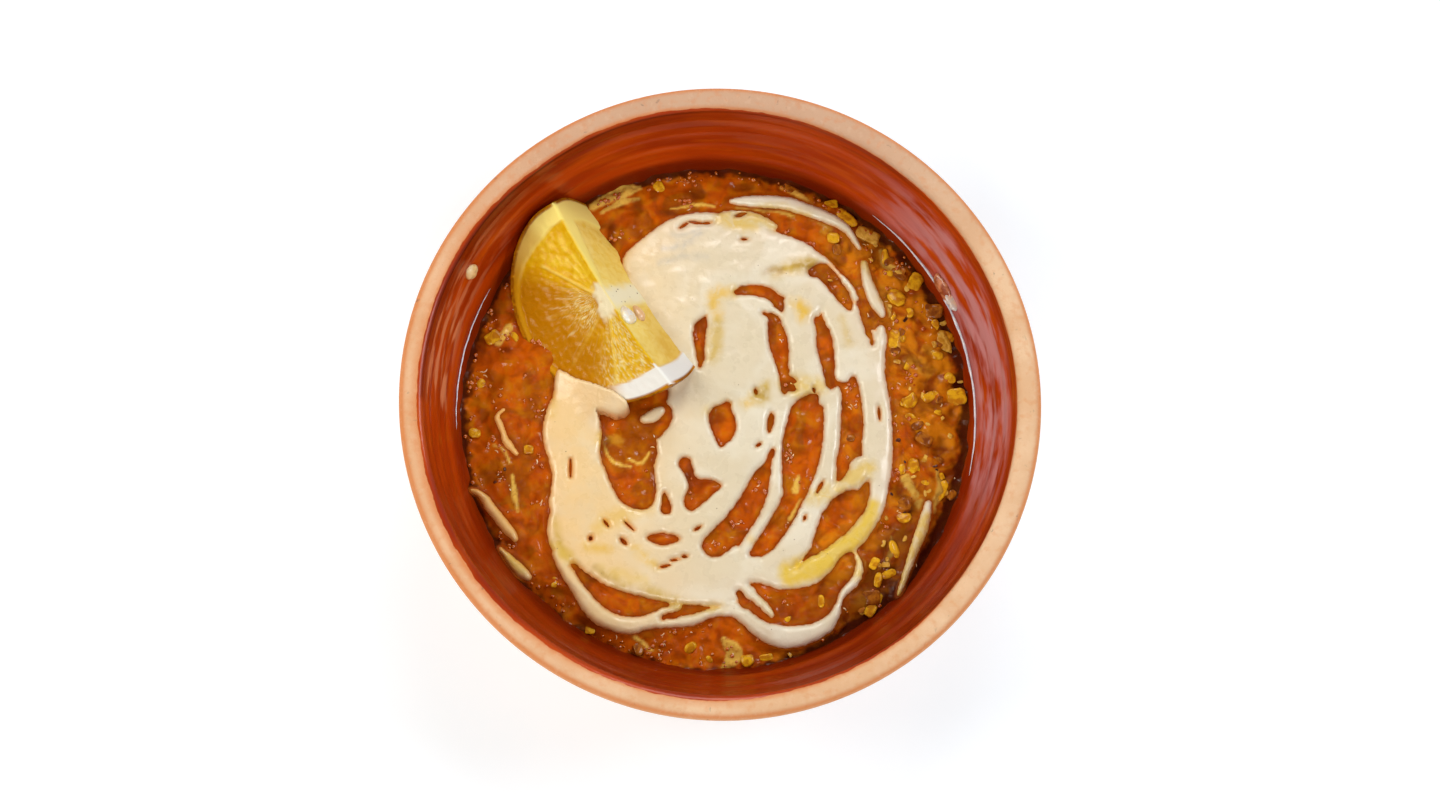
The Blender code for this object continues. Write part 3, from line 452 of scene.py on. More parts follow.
# where the cream was poured: points of each ribbon's middle line and the width there
pours = {
    "crown": (
        (-22, 45.6, 11.8), (-16, 48.2, 15.8), (-9, 51, 19.4), (-3, 51.4, 20.4), (3, 50.8, 20.6),
        (8, 49.8, 19.6), (14, 48.2, 16.6), (22, 46.8, 14), (28, 47.1, 6.8), (32.4, 45.6, 3.6),
        (35.5, 42.4, 3), (38.6, 39, 3.2), (40.9, 35.4, 2.2),
    ),
    "crown edge": ((3, 60.2, 4), (9, 59.8, 4.6), (14, 58.4, 3.8), (17.4, 57.2, 1.8)),
    "middle": ((-11, 38, 26), (-2, 27, 26), (-0.5, 14, 27), (-3.5, 3, 23), (-6, -8, 25), (-8, -20, 24)),
    "beside the lemon": ((-23, 41, 8), (-18, 32, 9), (-13, 22, 9), (-12.6, 14, 7), (-13, 9, 4)),
    "collar": ((2, 44, 12), (14, 43, 8), (24, 40, 12), (30, 37, 10)),
    "under the hook": ((10, 35, 7), (15, 33.6, 5.6), (20, 31.4, 5), (21.6, 26, 5)),
    "inner strand": ((8, 31, 13), (10, 22, 13), (11.4, 12, 17), (12.6, 3, 15), (9.6, -8, 13), (5, -17, 12)),
    "second strand": (
        (26, 36, 12), (25, 28, 10), (26.2, 18, 11), (26, 10.6, 13), (33, 6, 7), (33.3, -3, 5.4),
        (32.8, -11, 6.2), (31.2, -18, 7), (28, -26, 9), (23.6, -35, 10.4), (17, -43, 11),
    ),
    "third strand": ((34, 37, 9), (36.6, 30.4, 11), (38.4, 24, 10), (38.5, 18, 10), (37, 13, 6)),
    "right strand": (
        (39.5, 28, 6), (42.6, 20, 12.6), (43.9, 12, 10.8), (46.3, 3, 8.8), (46.5, -6, 9.4), (46.4, -14, 9),
        (46, -20, 7.6), (44.8, -27, 6.6), (41, -33.5, 6.2), (35, -39.5, 6.4), (28.5, -44, 8.4),
        (21, -46.5, 8), (13, -46, 8),
    ),
    "right lobe": ((48.3, 26.6, 2.6), (47.8, 23, 4.6), (46.2, 18, 6)),
    "heel": ((20, 5.6, 6), (24, 7, 6)),
    "bridge": ((41, -14, 5.4), (40, -19, 7), (35, -22.5, 5.5), (29, -26.5, 7)),
    "between the dark gaps": (
        (17.8, 6, 8), (18.2, -4, 5), (17.6, -14, 4.6), (17.2, -21, 5.4), (14.9, -28, 5), (11.4, -34, 5),
        (8, -40, 6),
    ),
    "inner spoke": ((6, -16, 10), (4, -23, 8.4), (0, -29, 8), (-6, -35, 8)),
    "left lobe": (
        (-46.7, 13.7, 0.8), (-45.6, 11.6, 3.8), (-44.4, 9, 6.8), (-42.6, 4, 11.4), (-42.4, -1.5, 16.2),
        (-42.2, -6, 17.4), (-40.4, -16, 15.6), (-37.2, -27, 24),
    ),
    "below the lemon": ((-43.4, 7.6, 8), (-38, 6, 7.4), (-31.6, 3.2, 7), (-28.4, 1.4, 5.8)),
    "spokes at the left": ((-14.5, -14, 7.4), (-14.5, -22, 9), (-17, -30, 12)),
    "pool": ((-37, -33, 25), (-25, -37.5, 27.4), (-12, -41, 27), (0, -45.5, 19), (9, -45.5, 11)),
    "outer left strand": (
        (-46.8, -40.3, 2.6), (-43.5, -45.8, 3.8), (-40.7, -49.8, 4), (-37.7, -54.2, 5), (-34.3, -57.8, 5.4),
        (-29.9, -60, 5.2), (-25.1, -60.9, 5.2), (-20.1, -59.9, 4.4), (-12.8, -59.8, 3.5), (-8, -59.4, 3.6),
        (-5, -58.4, 3.2), (-1.6, -57.2, 2.8), (4, -56.8, 3),
    ),
    "fork": ((-20, -59, 3), (-16, -57, 2.6), (-11.5, -55.6, 2.4)),
    "bottom arc": (
        (5, -57, 3.4), (8.8, -58.8, 5.2), (12.8, -61.8, 6), (18, -64, 6.6), (23, -63.8, 6.4),
        (27.6, -62.4, 5.6), (31.4, -60.2, 4.8), (33.7, -56.8, 3.4), (34.3, -53.6, 3.2), (36, -50.8, 3.2),
        (38.5, -49, 3), (40.2, -46.6, 2.8), (40.7, -43.8, 2.8), (40.2, -41.2, 2), (38.6, -39.7, 1.6),
        (36.8, -40, 1.4),
    ),
    "joint": ((1, -54.6, 3), (5, -55.2, 2.6)),
    "tongue": ((6.6, -49.4, 3.4), (10.8, -53, 2.9), (14, -56, 2.6), (15.6, -58.2, 1.6)),
}
# openings in the swirl
openings = {
    "by the lemon": ((-3.4, 29.4, 0.8), (-5, 26, 3.4), (-5.2, 21, 2.6), (-4.9, 17.5, 2), (-5.2, 14.3, 0.7)),
    "hook": (
        (5.7, 37, 1.6), (8.9, 37.6, 2.6), (12.8, 37.1, 2.5), (16.2, 35.7, 2.6), (18.1, 33.4, 2.5),
        (18.8, 31.4, 1),
    ),
    "long left": (
        (13.4, 30.9, 0.7), (15.6, 29.6, 1.4), (17, 26.4, 4), (18, 20.6, 5.2), (19, 15, 3.2),
        (19.6, 10, 2.4), (19.4, 6.8, 1.2),
    ),
    "long left barb": ((20.5, 11.4, 1.2), (22.7, 10.3, 1.2)),
    "long left heel": ((20.2, 8.8, 1.6), (22.4, 8.1, 1.4)),
    "long middle": (
        (29.2, 28.9, 1.6), (30.9, 25.4, 3.6), (31.6, 20.6, 4.6), (32.4, 15, 3.5), (32.8, 10.6, 2.4),
        (33.1, 8.2, 0.9),
    ),
    "under the string": (
        (28.2, 43.4, 2.6), (31.4, 43.6, 4.6), (34.4, 40, 4.4), (37.2, 36, 3.8), (38.8, 32.9, 2),
    ),
    "string edge": ((43.4, 32.6, 1.6), (43.6, 28.6, 1.6), (44.4, 25.4, 1.3), (45.6, 22.7, 1)),
    "right blade": (
        (39.8, 11.2, 1.8), (39.2, 6, 5), (39.2, 0, 6.2), (39, -4.5, 6.3), (38.4, -9, 5.8),
        (36.6, -12.6, 3.8), (35.2, -16, 1.4), (34.6, -17.8, 0.6),
    ),
    "broad left": (
        (14.7, -13.8, 1.2), (12.6, -17.8, 4.4), (11, -22, 5.9), (8.9, -26, 6.3), (5.2, -31.1, 6.4),
        (1.7, -35.4, 7.2), (-1.2, -37.8, 6.6),
    ),
    "broad middle": (
        (28.6, 6, 1.8), (25.6, 2, 7), (25.1, -3.8, 10.2), (24.4, -8.8, 11.2), (23.8, -13.8, 10.2),
        (22.9, -18.8, 8.2), (21.7, -23.8, 5.8), (19.4, -28.8, 5.7), (16.2, -33.8, 5.4), (12.8, -38.2, 4.6),
        (9.4, -40.4, 1),
    ),
    "broad right": (
        (43.6, -19, 0.8), (41.6, -23.4, 4.2), (38, -26.2, 8.6), (34.4, -30.2, 8.8), (31.2, -34.6, 6),
        (28.2, -38.8, 2.6), (25.6, -41, 0.9), (21.8, -44.4, 0.6),
    ),
    "large left": (
        (-27, -3.4, 5), (-26, -9.2, 15.8), (-25.8, -13, 14.4), (-25, -17.4, 12.6), (-23.8, -21, 11.4),
        (-22, -23.8, 7.2),
    ),
    "large left arm": (
        (-26, -3, 4), (-22.6, -0.8, 6), (-17.4, 1.4, 5.8), (-16.2, -0.6, 5.6), (-18.8, -4.4, 5),
    ),
    "centre": ((1, -0.6, 7.2), (1.7, -3.6, 6.8), (1.3, -6.8, 3.2), (0.7, -9, 0.8)),
    "centre lip": ((0, 1.8, 2), (3, 3.2, 2)),
    "fan stem": ((-9.6, -14, 3.4), (-8, -17.6, 2.4), (-7, -20, 3)),
    "fan": ((0.3, -20.5, 1.4), (-4.2, -21.5, 5.6), (-7.2, -24.6, 5), (-8, -26.8, 2)),
    "small cone": ((-15.4, -22.8, 0.9), (-15.2, -25.4, 2), (-15, -27.4, 2.8)),
    "lens": ((-20, -35.6, 1.2), (-16.4, -36, 3.4), (-13.4, -36, 2.4), (-11.4, -36, 0.8)),
    "crescent": (
        (-42.2, -43, 0.8), (-38.3, -46.8, 2), (-34.7, -49.9, 3.2), (-30.9, -52.7, 5), (-27.3, -54.6, 6.2),
        (-23.7, -55.2, 5.8), (-19.9, -55, 3.4), (-16.3, -54.6, 1),
    ),
    "slit by the fork": ((-16, -58.6, 1.2), (-12, -57.6, 1.6), (-8, -56.4, 1.6), (-5, -55.3, 0.9)),
    "notch": ((5.8, -51.4, 1.6), (7.8, -54, 1.9), (11.8, -57.5, 1.6), (15, -59.6, 1.2)),
    "bottom window": (
        (9.4, -48.8, 0.8), (13.6, -50.8, 3), (18.4, -54.6, 6.2), (23, -55.6, 9.6), (28.6, -53.8, 9.4),
        (32.2, -49.6, 6), (35.6, -45.8, 5.6), (37.2, -43, 5), (38, -41, 2.6),
    ),
    "slit": ((16, 0.8, 0.8), (15.4, -2.4, 1.3), (14.6, -4.8, 0.9)),
    "slit below": ((16, -9.8, 1), (15.2, -12, 1.4), (14.2, -14.4, 1)),
    "nick": ((32, 9.6, 1.1), (34.2, 9.2, 0.9)),
}
# fine slits: from, to, width
slits = (
    (47, 3, 47.3, -1, 0.65), (15.5, 1, 14.5, -4, 0.94), (12.5, -8, 11, -9, 0.72),
    (16, -10, 14.8, -13, 1.08), (30.5, -19, 28.5, -22.5, 0.94), (25.3, -29, 24.7, -30.5, 0.72),
    (-42.7, -13, -42.7, -18, 0.58), (-33, -30.5, -31.7, -32.3, 0.65), (-28, -36, -26.5, -37.5, 1.01),
    (-27, -31, -24.3, -33.5, 0.5), (-7, -33.5, -5, -32.3, 0.65), (-10.5, -41, -9, -41, 0.72),
    (-17, -44.2, -14, -43.5, 0.65), (32, 9.5, 34, 9, 0.94), (11, 8, 11.2, 6.3, 0.94),
    (28, 8.5, 28.2, 7, 0.72), (-11, 56.5, -8, 58.5, 0.65), (-8, 58.5, -4, 58, 0.65),
    (-4, 58, -1.5, 58.3, 0.65), (5.5, 60.2, 9, 61.5, 1.08), (45.3, 23, 45.4, 21.6, 0.86),
    (7.2, 53.2, 9, 53.2, 0.58), (-37, -36.2, -36.6, -35.4, 1.01), (-14, -42.3, -11, -41.7, 0.5),
)
# cream that lies apart from the swirl
ribbonsApart = {
    "cream_streak_top": (
        (4.4, 65, 1.8), (9, 65.1, 3.6), (15, 65, 4.2), (21, 64.5, 4.4), (27, 62.6, 4.2), (33, 60.2, 3.8),
        (37.2, 58, 3.2), (39.6, 55.5, 2.4), (41.2, 52.7, 2), (42.4, 50.9, 1.4),
    ),
    "cream_streak_right": (
        (43.6, 46.4, 2.2), (44.1, 42.2, 3.4), (45.4, 38, 4), (47.1, 34, 4), (48.7, 30.9, 2.4),
    ),
    "cream_streak_edge": (
        (61.2, -25.2, 2.2), (60.4, -29, 3.4), (58.8, -34, 3.6), (56.8, -39, 3), (55, -44, 2.4),
        (53.2, -49, 1.9), (52, -52, 1.2),
    ),
    "cream_streak_left": (
        (-71.4, -21.6, 1.4), (-69.4, -22.4, 1.9), (-67.5, -23.9, 2.6), (-66.3, -26.1, 3.2),
        (-63.1, -30.2, 3.2), (-61.2, -32.5, 3.3), (-59.4, -34.5, 2.9), (-58.5, -36, 2),
    ),
    "cream_streak_low": (
        (-63.1, -38.6, 1.2), (-61.2, -40.6, 2.4), (-59.6, -42.9, 3.8), (-57.4, -44.9, 4),
        (-54.9, -46.8, 2.8),
    ),
    "cream_streak_wavy": (
        (-62.3, 1.9, 1.3), (-64.2, -0.2, 1.6), (-63.3, -2.1, 2), (-62.4, -4.6, 1.8), (-61.4, -7.4, 2.4),
        (-59.8, -9.3, 2.1), (-58.2, -11.1, 1.5),
    ),
    "cream_drop": ((-21.3, -1, 3), (-18.9, -0.1, 4), (-16.6, 1.5, 3)),
}
# oil and yolk-yellow stains in the cream, and grey along the wrinkles that is painted shade: strength, then
# points with widths
stains = {
    "yellow": (
        (0.9, (22.5, 34, 2.2), (24.8, 31.8, 4), (25, 29, 3)),
        (0.8, (4, 37, 3.6), (-1, 35.4, 4), (0, 30, 3)), (0.7, (8, 3.4, 2.6), (10, 5, 2.6)),
        (0.85, (-34, -6.6, 2.4), (-31, -11, 3), (-26, -14.4, 3), (-20, -13.4, 2.6)),
        (0.8, (-37.6, -38.6, 2.2), (-32, -39, 2.4)), (0.7, (-24, -38.6, 2), (-18.4, -43.6, 2.4)),
        (0.65, (-47.8, 6, 1.6), (-48, 0, 2)), (0.6, (12, -37.8, 2.4), (9, -36, 2)),
        (0.5, (-20, -27, 3), (-30, -30, 5), (-35, -33, 3)),
    ),
    "olive": (
        (0.9, (17, 42.6, 2.5), (22, 44.4, 4), (28, 45.6, 3.4)),
        (0.7, (0, 28, 3), (-0.6, 22, 4.4), (-1.4, 17, 3)),
        (0.8, (11.2, 6, 3.4), (12.4, 5.4, 4.4), (14, 9, 2.6)),
        (0.7, (-20, -51, 2.6), (-10, -55.6, 3.6), (0, -55.8, 3)),
        (0.85, (43.4, 47, 3), (46.8, 41.6, 2.6), (48.6, 36, 3)), (0.5, (36.6, 29, 2.4), (38.4, 22, 3)),
        (0.8, (-47, -30, 1.2), (-45.4, -38, 1.8), (-41, -43, 1.6)),
    ),
    "khaki": (
        (0.9, (1, 59.6, 4), (6, 58.6, 6), (11, 57.6, 4)),
        (0.9, (9, 60.6, 3), (14, 59.4, 4.4), (17, 57.6, 3)),
        (0.75, (20, 9.6, 5), (25, 8.4, 7), (29.4, 8.8, 5)), (0.8, (-6.8, -21.4, 2), (-6.2, -20.4, 2)),
        (0.85, (36.4, -18.2, 4), (40, -17.4, 6), (43.4, -15, 4)),
        (0.8, (27.4, -24, 4.6), (31.6, -22.8, 5), (36, -21.6, 4)),
        (0.8, (-34, -45, 2.4), (-27, -49.4, 2.2)), (0.9, (13, 62.6, 1.8), (20, 62.4, 2.6), (27, 60.2, 2)),
        (0.9, (60.6, -29.6, 4), (58, -36, 6), (55, -44, 5), (52, -52, 4)),
        (0.6, (12.8, -53.4, 1.8), (16, -57, 2.2)), (0.5, (-2.4, 0.8, 4), (2.4, 3.4, 3)),
    ),
    "brown": (
        (0.8, (14.5, 43.2, 1.6), (18.5, 43.2, 2)), (0.7, (23, 44.9, 1.4), (28.4, 45, 2.2)),
        (0.6, (11.2, 5.6, 1.2), (13.2, 6.2, 2)), (0.45, (58.6, -36, 1.4), (55, -45, 1.6), (52, -52, 2)),
        (0.5, (-35.6, -44.4, 1), (-29, -49, 1.6), (-21, -52.6, 1.4), (-13, -55, 1)),
    ),
    "yolk": (
        (0.95, (44.8, -26, 4), (42.4, -32, 6), (36.4, -38, 6.6), (28.6, -43.2, 8), (21, -46, 7.4)),
        (0.4, (-29.6, -45.4, 3), (-22, -48, 3.4)), (0.7, (-50, -36.4, 2), (-43, -41.6, 2.4)),
        (0.7, (41, -40, 2.6), (40.6, -46, 3)), (0.6, (-60.6, -41, 2), (-57, -44.4, 3)),
    ),
    # painted shade along the wrinkles
    "wrinkleShade": (
        (0.7, (-16, 49.6, 0.8), (-10, 51, 1.4), (-5, 54.6, 0.8)),
        (0.6, (-13, 54, 0.6), (-8, 54.6, 1), (-3, 57, 0.6)),
        (0.5, (-17, 45, 0.6), (-10, 47.6, 1.2), (-3, 47, 0.6)),
    ),
}
creamShape = {
    "thickness": 1.45, "crown": 0.75, "shoulder": 1.7, "sunk": 0.35, "limit": 75.2, "onLemon": 0.9,
    "ripple": 0.16,
}


def strokeRun(points, steps=6):
    p = np.array(points, float) + (*serving, 0)
    ends = np.vstack([2 * p[0] - p[1], p, 2 * p[-1] - p[-2]])
    run = []
    for a, b, c, d in zip(ends, ends[1:], ends[2:], ends[3:]):
        for t in np.arange(steps) / steps:
            run.append(0.5 * (2 * b + (c - a) * t + (2 * a - 5 * b + 4 * c - d) * t ** 2
                              + (3 * b - a - 3 * c + d) * t ** 3))
    return np.vstack(run + [p[-1:]])


# How far inside the nearest stroke each grid point lies, and how near its middle line
def strokeField(strokes, spread=4.0):
    depth = np.full(gridX.shape, -spread)
    middle = np.zeros(gridX.shape)
    for points in strokes:
        run = strokeRun(points)
        for (x0, y0, w0), (x1, y1, w1) in zip(run, run[1:]):
            margin = max(w0, w1) / 2 + spread
            i0, i1 = np.searchsorted(axis, (min(x0, x1) - margin, max(x0, x1) + margin))
            j0, j1 = np.searchsorted(axis, (min(y0, y1) - margin, max(y0, y1) + margin))
            x, y = gridX[i0:i1, j0:j1], gridY[i0:i1, j0:j1]
            dx, dy = x1 - x0, y1 - y0
            t = np.clip(((x - x0) * dx + (y - y0) * dy) / (dx * dx + dy * dy + 1e-9), 0, 1)
            half = (w0 + t * (w1 - w0)) / 2
            away = np.hypot(x - x0 - t * dx, y - y0 - t * dy)
            depth[i0:i1, j0:j1] = np.maximum(depth[i0:i1, j0:j1], half - away)
            middle[i0:i1, j0:j1] = np.maximum(middle[i0:i1, j0:j1], 1 - (away / np.maximum(half, 0.1)) ** 2)
    return depth, middle


poured, pourMiddle = strokeField(pours.values())
opened, _ = strokeField(openings.values())
wobble = 0.2 * waves(1.9, 31) + 0.12 * waves(1.0, 32)
swirl = soften(np.minimum(poured, -opened), 2) + wobble
slitStrokes = []
for x0, y0, x1, y1, width in slits:
    widest = (0.55 * x0 + 0.45 * x1, 0.55 * y0 + 0.45 * y1, width)
    slitStrokes.append(((x0, y0, 0.3 * width), widest, (x1, y1, 0.3 * width)))
cut, _ = strokeField(slitStrokes, 2.0)
swirl = np.minimum(np.minimum(swirl, -cut), creamShape["limit"] - gridR)
apart = {}
apartMiddle = {}
for name, points in ribbonsApart.items():
    depth, apartMiddle[name] = strokeField([points])
    apart[name] = np.minimum(soften(depth, 1) + wobble * 0.7, creamShape["limit"] - gridR)
allCream = np.maximum.reduce([swirl] + list(apart.values()))
stainRim = 0.6 * waves(2.2, 41)
stained = {}
for kind, marks in stains.items():
    stained[kind] = np.zeros(gridX.shape)
    for strength, *points in marks:
        depth, _ = strokeField([points])
        stained[kind] = np.maximum(stained[kind], strength * ease(depth + stainRim, -1.8, 1.9))
print("cream laid out")

# The lemon is a quarter, whose two cut faces meet in a ridge. A seed has its place along the ridge and down
# the cut, its length, width and thickness; a wall of the flesh its angle, strength, start and end.
lemonShape = {
    "centre": (-32.6, 31.5, 49.5), "radius": 32.5, "length": 38, "turn": 31.4, "rise": 1.7, "bend": 2.3,
    "fade": 13, "wheelDip": 31.5, "lengthDip": 51, "twist": 5, "width": 0.92, "blunt": 0.85, "farBlunt": 0.15,
    "farBend": 0.5, "tipCut": 1.3, "tipFull": 0.8, "sink": 0.5,
    "seeds": ((-8, 4.3, 6, 5.6, 2.8), (-8.3, 10, 5.4, 3.4, 2.8)),
    "walls": ((33, 0.7, 4, 25), (148, 0.45, 4, 26), (72, 0.12, 4, 22), (112, 0.14, 4, 25)),
}


def lemonFrame():
    s = lemonShape
    turn, rise = math.radians(s["turn"]), math.radians(s["rise"])
    wheelDip, lengthDip = math.radians(s["wheelDip"]), math.radians(s["lengthDip"])
    level = Vector((-math.sin(turn), math.cos(turn), 0))
    down = Vector((0, 0, -1))
    ridge = level * math.cos(rise) + down * math.sin(rise)
    left = level.cross(down)
    across = left * math.cos(wheelDip) + down * math.sin(wheelDip)
    along = -left * math.cos(lengthDip) + down * math.sin(lengthDip)
    return ridge, left, across, along


# The cream rises where it runs over the edge of the lemon's crosswise cut
def riseOnLemon(x, y, height):
    ridge, left, across, _ = lemonFrame()
    cx, cy, cz = lemonShape["centre"]
    side = Matrix(((ridge.x, across.x), (ridge.y, across.y))).inverted()
    dx, dy = x - cx, y - cy
    a = side[0][0] * dx + side[0][1] * dy
    b = side[1][0] * dx + side[1][1] * dy
    beyond = np.maximum(np.hypot(a, b) - lemonShape["radius"], 0)
    cover = cz + a * ridge.z + b * across.z + creamShape["onLemon"] - height
    cover = np.where(cover > 8, cover, 1.2 * np.log1p(np.exp(np.minimum(cover, 8) / 1.2)))
    return cover * ease(b, 2, 10) * ease(a, -36, -29) * np.exp(-(beyond / 6.5) ** 2)


# The dal: the heap has its place, width and height, and the oil along the wall its bearing, spread and width
dalShape = {
    "edge": 33, "crown": 3, "lumpDepth": 1.7, "lumpSize": 6.5, "edgeSink": 1.0, "heap": (-50.5, 15.5, 8, 3),
    "lentil": 3.3, "lentilHeight": 0.28, "smallLentil": 1.25, "mush": 0.06, "curdHeight": 0.45,
    "oil": ((8, 46, 2.8), (95, 60, 2.0), (178, 40, 1.6), (-48, 26, 2.6)), "thinnestOil": 0.8,
    "sideHeights": (30, 24, 18), "floorRings": ((12.5, 57), (8.3, 49)),
}
dalTones = {
    "dal": tone(184, 78, 2), "bright": tone(204, 94, 2), "golden": tone(206, 128, 6),
    "deep": tone(124, 46, 2), "gap": tone(84, 28, 3), "umber": tone(150, 78, 4),
    "brown": tone(222, 138, 18), "oil": tone(64, 18, 8), "pale": tone(214, 152, 40),
    "skin": tone(160, 56, 6), "curd": tone(230, 184, 80),
}
# strings of curd in the dal: points of the middle line and the width there
curds = (
    ((-59.5, -17.4, 1), (-58.9, -22.8, 1.9), (-57.9, -27.8, 0.8)),
    ((-65, -8.4, 0.7), (-62, -10, 1.2), (-60.4, -13.8, 0.8)),
    ((19.7, 70.2, 1.4), (24.7, 67.2, 2.2), (28.7, 64.2, 1)),
    ((49.2, 50.7, 2), (50.7, 46.2, 2.8), (54.7, 43.7, 1.6)),
    ((64.2, -15.8, 1.2), (65, -20.8, 2.4), (62.2, -26.8, 2)), ((59, -25.3, 3.4), (62.5, -27, 2.6)),
    ((-24.8, -63.3, 1.6), (-19.3, -67.8, 1.2)),
    ((-36.6, 63.4, 2.6), (-32, 66.4, 3.4), (-27.6, 68.4, 4.6), (-22.6, 69.8, 1.6)),
    ((-34, 61.6, 1.2), (-28, 65, 2), (-23, 66, 1)), ((1.7, -64.8, 2), (4.7, -68.8, 5), (1.7, -72.8, 2)),
    ((54.7, -17.8, 3), (57.7, -22.8, 2.2)), ((-13.3, 62.7, 0.8), (-5.3, 64, 1.4), (-0.3, 63.4, 0.8)),
    ((47, -44, 1), (50, -40, 1.8), (50.4, -35, 1)), ((22.4, -21.6, 2.4), (23.4, -17.6, 1.2)),
    ((24, -24.6, 1.2), (21, -30, 1.8)),
    ((-33.3, -7.4, 0.6), (-31.8, -11.8, 1), (-28.6, -14.3, 1.3), (-25.4, -14.9, 0.8)),
    ((-26, -12.6, 0.9), (-22.3, -13.9, 1.2), (-19.9, -10.8, 0.7)),
    ((6, 63, 1), (12, 63, 2.2), (18, 62.4, 1.8), (23, 60.6, 0.8)),
    ((47.4, 36, 0.8), (50.4, 33, 1.6), (51, 30.6, 0.8)),
    ((24.4, 62, 0.6), (29, 59.8, 1.4), (33, 57.4, 0.8)), ((52, 25, 2), (52.6, 21.4, 2.6), (52, 19, 1.4)),
    ((39, -49, 1), (41.7, -43, 1.8), (38, -38.6, 1.6)), ((-64, 22, 2.4), (-61, 26.4, 2.8)),
)
# soft patches in the dal: place, length and width of each
palePatches = (
    (57.6, 15.6, 3.4, 2.8), (61.6, 12.8, 2.6, 2.4), (62.4, 19.4, 2, 1.8), (50, 36, 2.6, 3.2),
    (43, -55, 3, 2.4), (-46, 22, 3, 2.4), (33, 55, 2.4, 2), (12, -46, 3, 2), (-30, -8, 3, 2),
)
# painted shade: darker places in the openings, in the same way
shadedPatches = (
    (30.6, 42.4, 4.6, 2.4), (7, 36.4, 3, 1.6), (-4.8, 26, 1.6, 3.6), (16.6, 24, 1.8, 5), (0, -2, 3, 3),
    (-33, -9, 2.4, 4), (32, 25, 2, 3), (20, 8, 2, 2), (-16, -21, 2, 5), (12, -17, 3, 3), (-8, -17, 1.6, 3),
    (-64.6, 31, 2.6, 5.6), (-68.4, 20, 1.4, 3), (-61.6, 18.6, 3, 1), (-14, 60, 3, 1.4), (-23, 62, 2, 3.6),
    (-5, 66, 4, 1.8), (8, 68.6, 5, 1.6), (-31, 54, 1.4, 4), (-18, 66, 2, 2), (16, 61.6, 3, 1),
    (-36, -48, 3, 2), (36, -24, 3, 2),
)


def dome(x, y):
    s = dalShape
    return s["edge"] + s["crown"] * (1 - (x * x + y * y) / innerRadius(s["edge"]) ** 2)


def lumps():
    size, hollow = dalShape["lumpSize"], np.zeros(gridX.shape)
    for i, j in zip(*np.nonzero((gridR < 78) & (allCream < 0.2))):
        here = Vector((gridX[i, j] / size, gridY[i, j] / size, 0))
        coarse = noise.noise(here)
        fine = noise.noise(here * 2.3 + Vector((7, 3, 1)))
        hollow[i, j] = dalShape["lumpDepth"] * min(max(0.5 - 0.75 * coarse - 0.3 * fine, 0), 1)
    return hollow


# Soft lentils that touch: height over the mush, and a number for each lentil
def lentils(size, seed):
    jitter = np.random.default_rng(seed).random((128, 128, 5))
    u, v = gridX / size + 64, gridY / size + 64
    i, j = np.floor(u).astype(int), np.floor(v).astype(int)
    near, owner = np.full(gridX.shape, 9.0), np.zeros(gridX.shape)
    for di in (-1, 0, 1):
        for dj in (-1, 0, 1):
            spot = jitter[(i + di) % 128, (j + dj) % 128]
            du, dv = i + di + spot[..., 0] - u, j + dj + spot[..., 1] - v
            turn = spot[..., 2] * math.pi
            p = du * np.cos(turn) + dv * np.sin(turn)
            q = dv * np.cos(turn) - du * np.sin(turn)
            away = np.hypot(p, q * (1 + 0.5 * spot[..., 3])) / (0.8 + 0.45 * spot[..., 4])
            closer = away < near
            owner = np.where(closer, spot[..., 3] * 0.7 + spot[..., 4] * 0.3, owner)
            near = np.where(closer, away, near)
    return np.sqrt(np.clip(1 - (near / 0.62) ** 2, 0, 1)), owner


# Patches with ragged edges; each fades out between two distances from its middle
def patches(spots, strength, fadeOut, ragged):
    field = np.zeros(gridX.shape)
    for spotX, spotY, wide, high in spots:
        away = np.hypot((gridX - spotX) / wide, (gridY - spotY) / high) + ragged
        field = np.maximum(field, strength * (1 - ease(away, *fadeOut)))
    return field


# dark oil stands along the wall, most at the right
oilWidth = np.full(gridX.shape, dalShape["thinnestOil"])
for middle, spread, width in dalShape["oil"]:
    oilWidth += width * np.exp(-(((gridBearing - middle + 180) % 360 - 180) / spread) ** 2)
wallRadius = float(innerRadius(dalShape["edge"]))
oilEdge = gridR - (wallRadius - oilWidth)
oilEdge = oilEdge + 1.1 * waves(4, 51) + 0.6 * waves(1.6, 52)
oil = ease(oilEdge, -0.8, 0.8) * ease(-allCream, 0, 0.8)
# the dal is chunkier at the right, and lies bare between the ribbons of cream
chunky = ease(gridX * 0.9 + 0.35 * np.abs(gridY) + 14 * waves(16, 53), 34, 56)
bare = np.clip(-allCream / 2.5, 0, 1)
nearCream = np.clip(-allCream / 0.9, 0, 1)
hollows = lumps()
sunk = dalShape["edgeSink"] * np.clip((gridR / wallRadius - 0.88) / 0.12, 0, 1)
heapX, heapY, heapWidth, heapHeight = dalShape["heap"]
heap = heapHeight * np.exp(-(np.hypot(gridX - heapX, gridY - heapY) / heapWidth) ** 2)
bead, beadOwner = lentils(dalShape["lentil"], 61)
smallBead, _ = lentils(dalShape["smallLentil"], 62)
whole = ease(beadOwner + 0.5 * waves(7, 63), 0.35, 0.75)
curdRim = 0.25 * waves(1.2, 66)
curd = np.zeros(gridX.shape)
for points in curds:
    depth, _ = strokeField([points])
    curd = np.maximum(curd, ease(depth + curdRim, -0.2, 0.45))
pale = patches(palePatches, 0.75, (0.5, 1.15), 0.35 * waves(2.4, 75))
shaded = patches(shadedPatches, 0.8, (0.4, 1.3), 0.3 * waves(2.4, 76))
crease = 0.6 * np.exp(-(waves(9, 67) / 0.12) ** 2)
crease = crease * ease(waves(12, 68), 0.0, 0.5)
folds = np.exp(-(waves(5, 69) / 0.2) ** 2)
folds = folds * ease(waves(8, 70) + 0.45 * chunky, 0.25, 0.75)
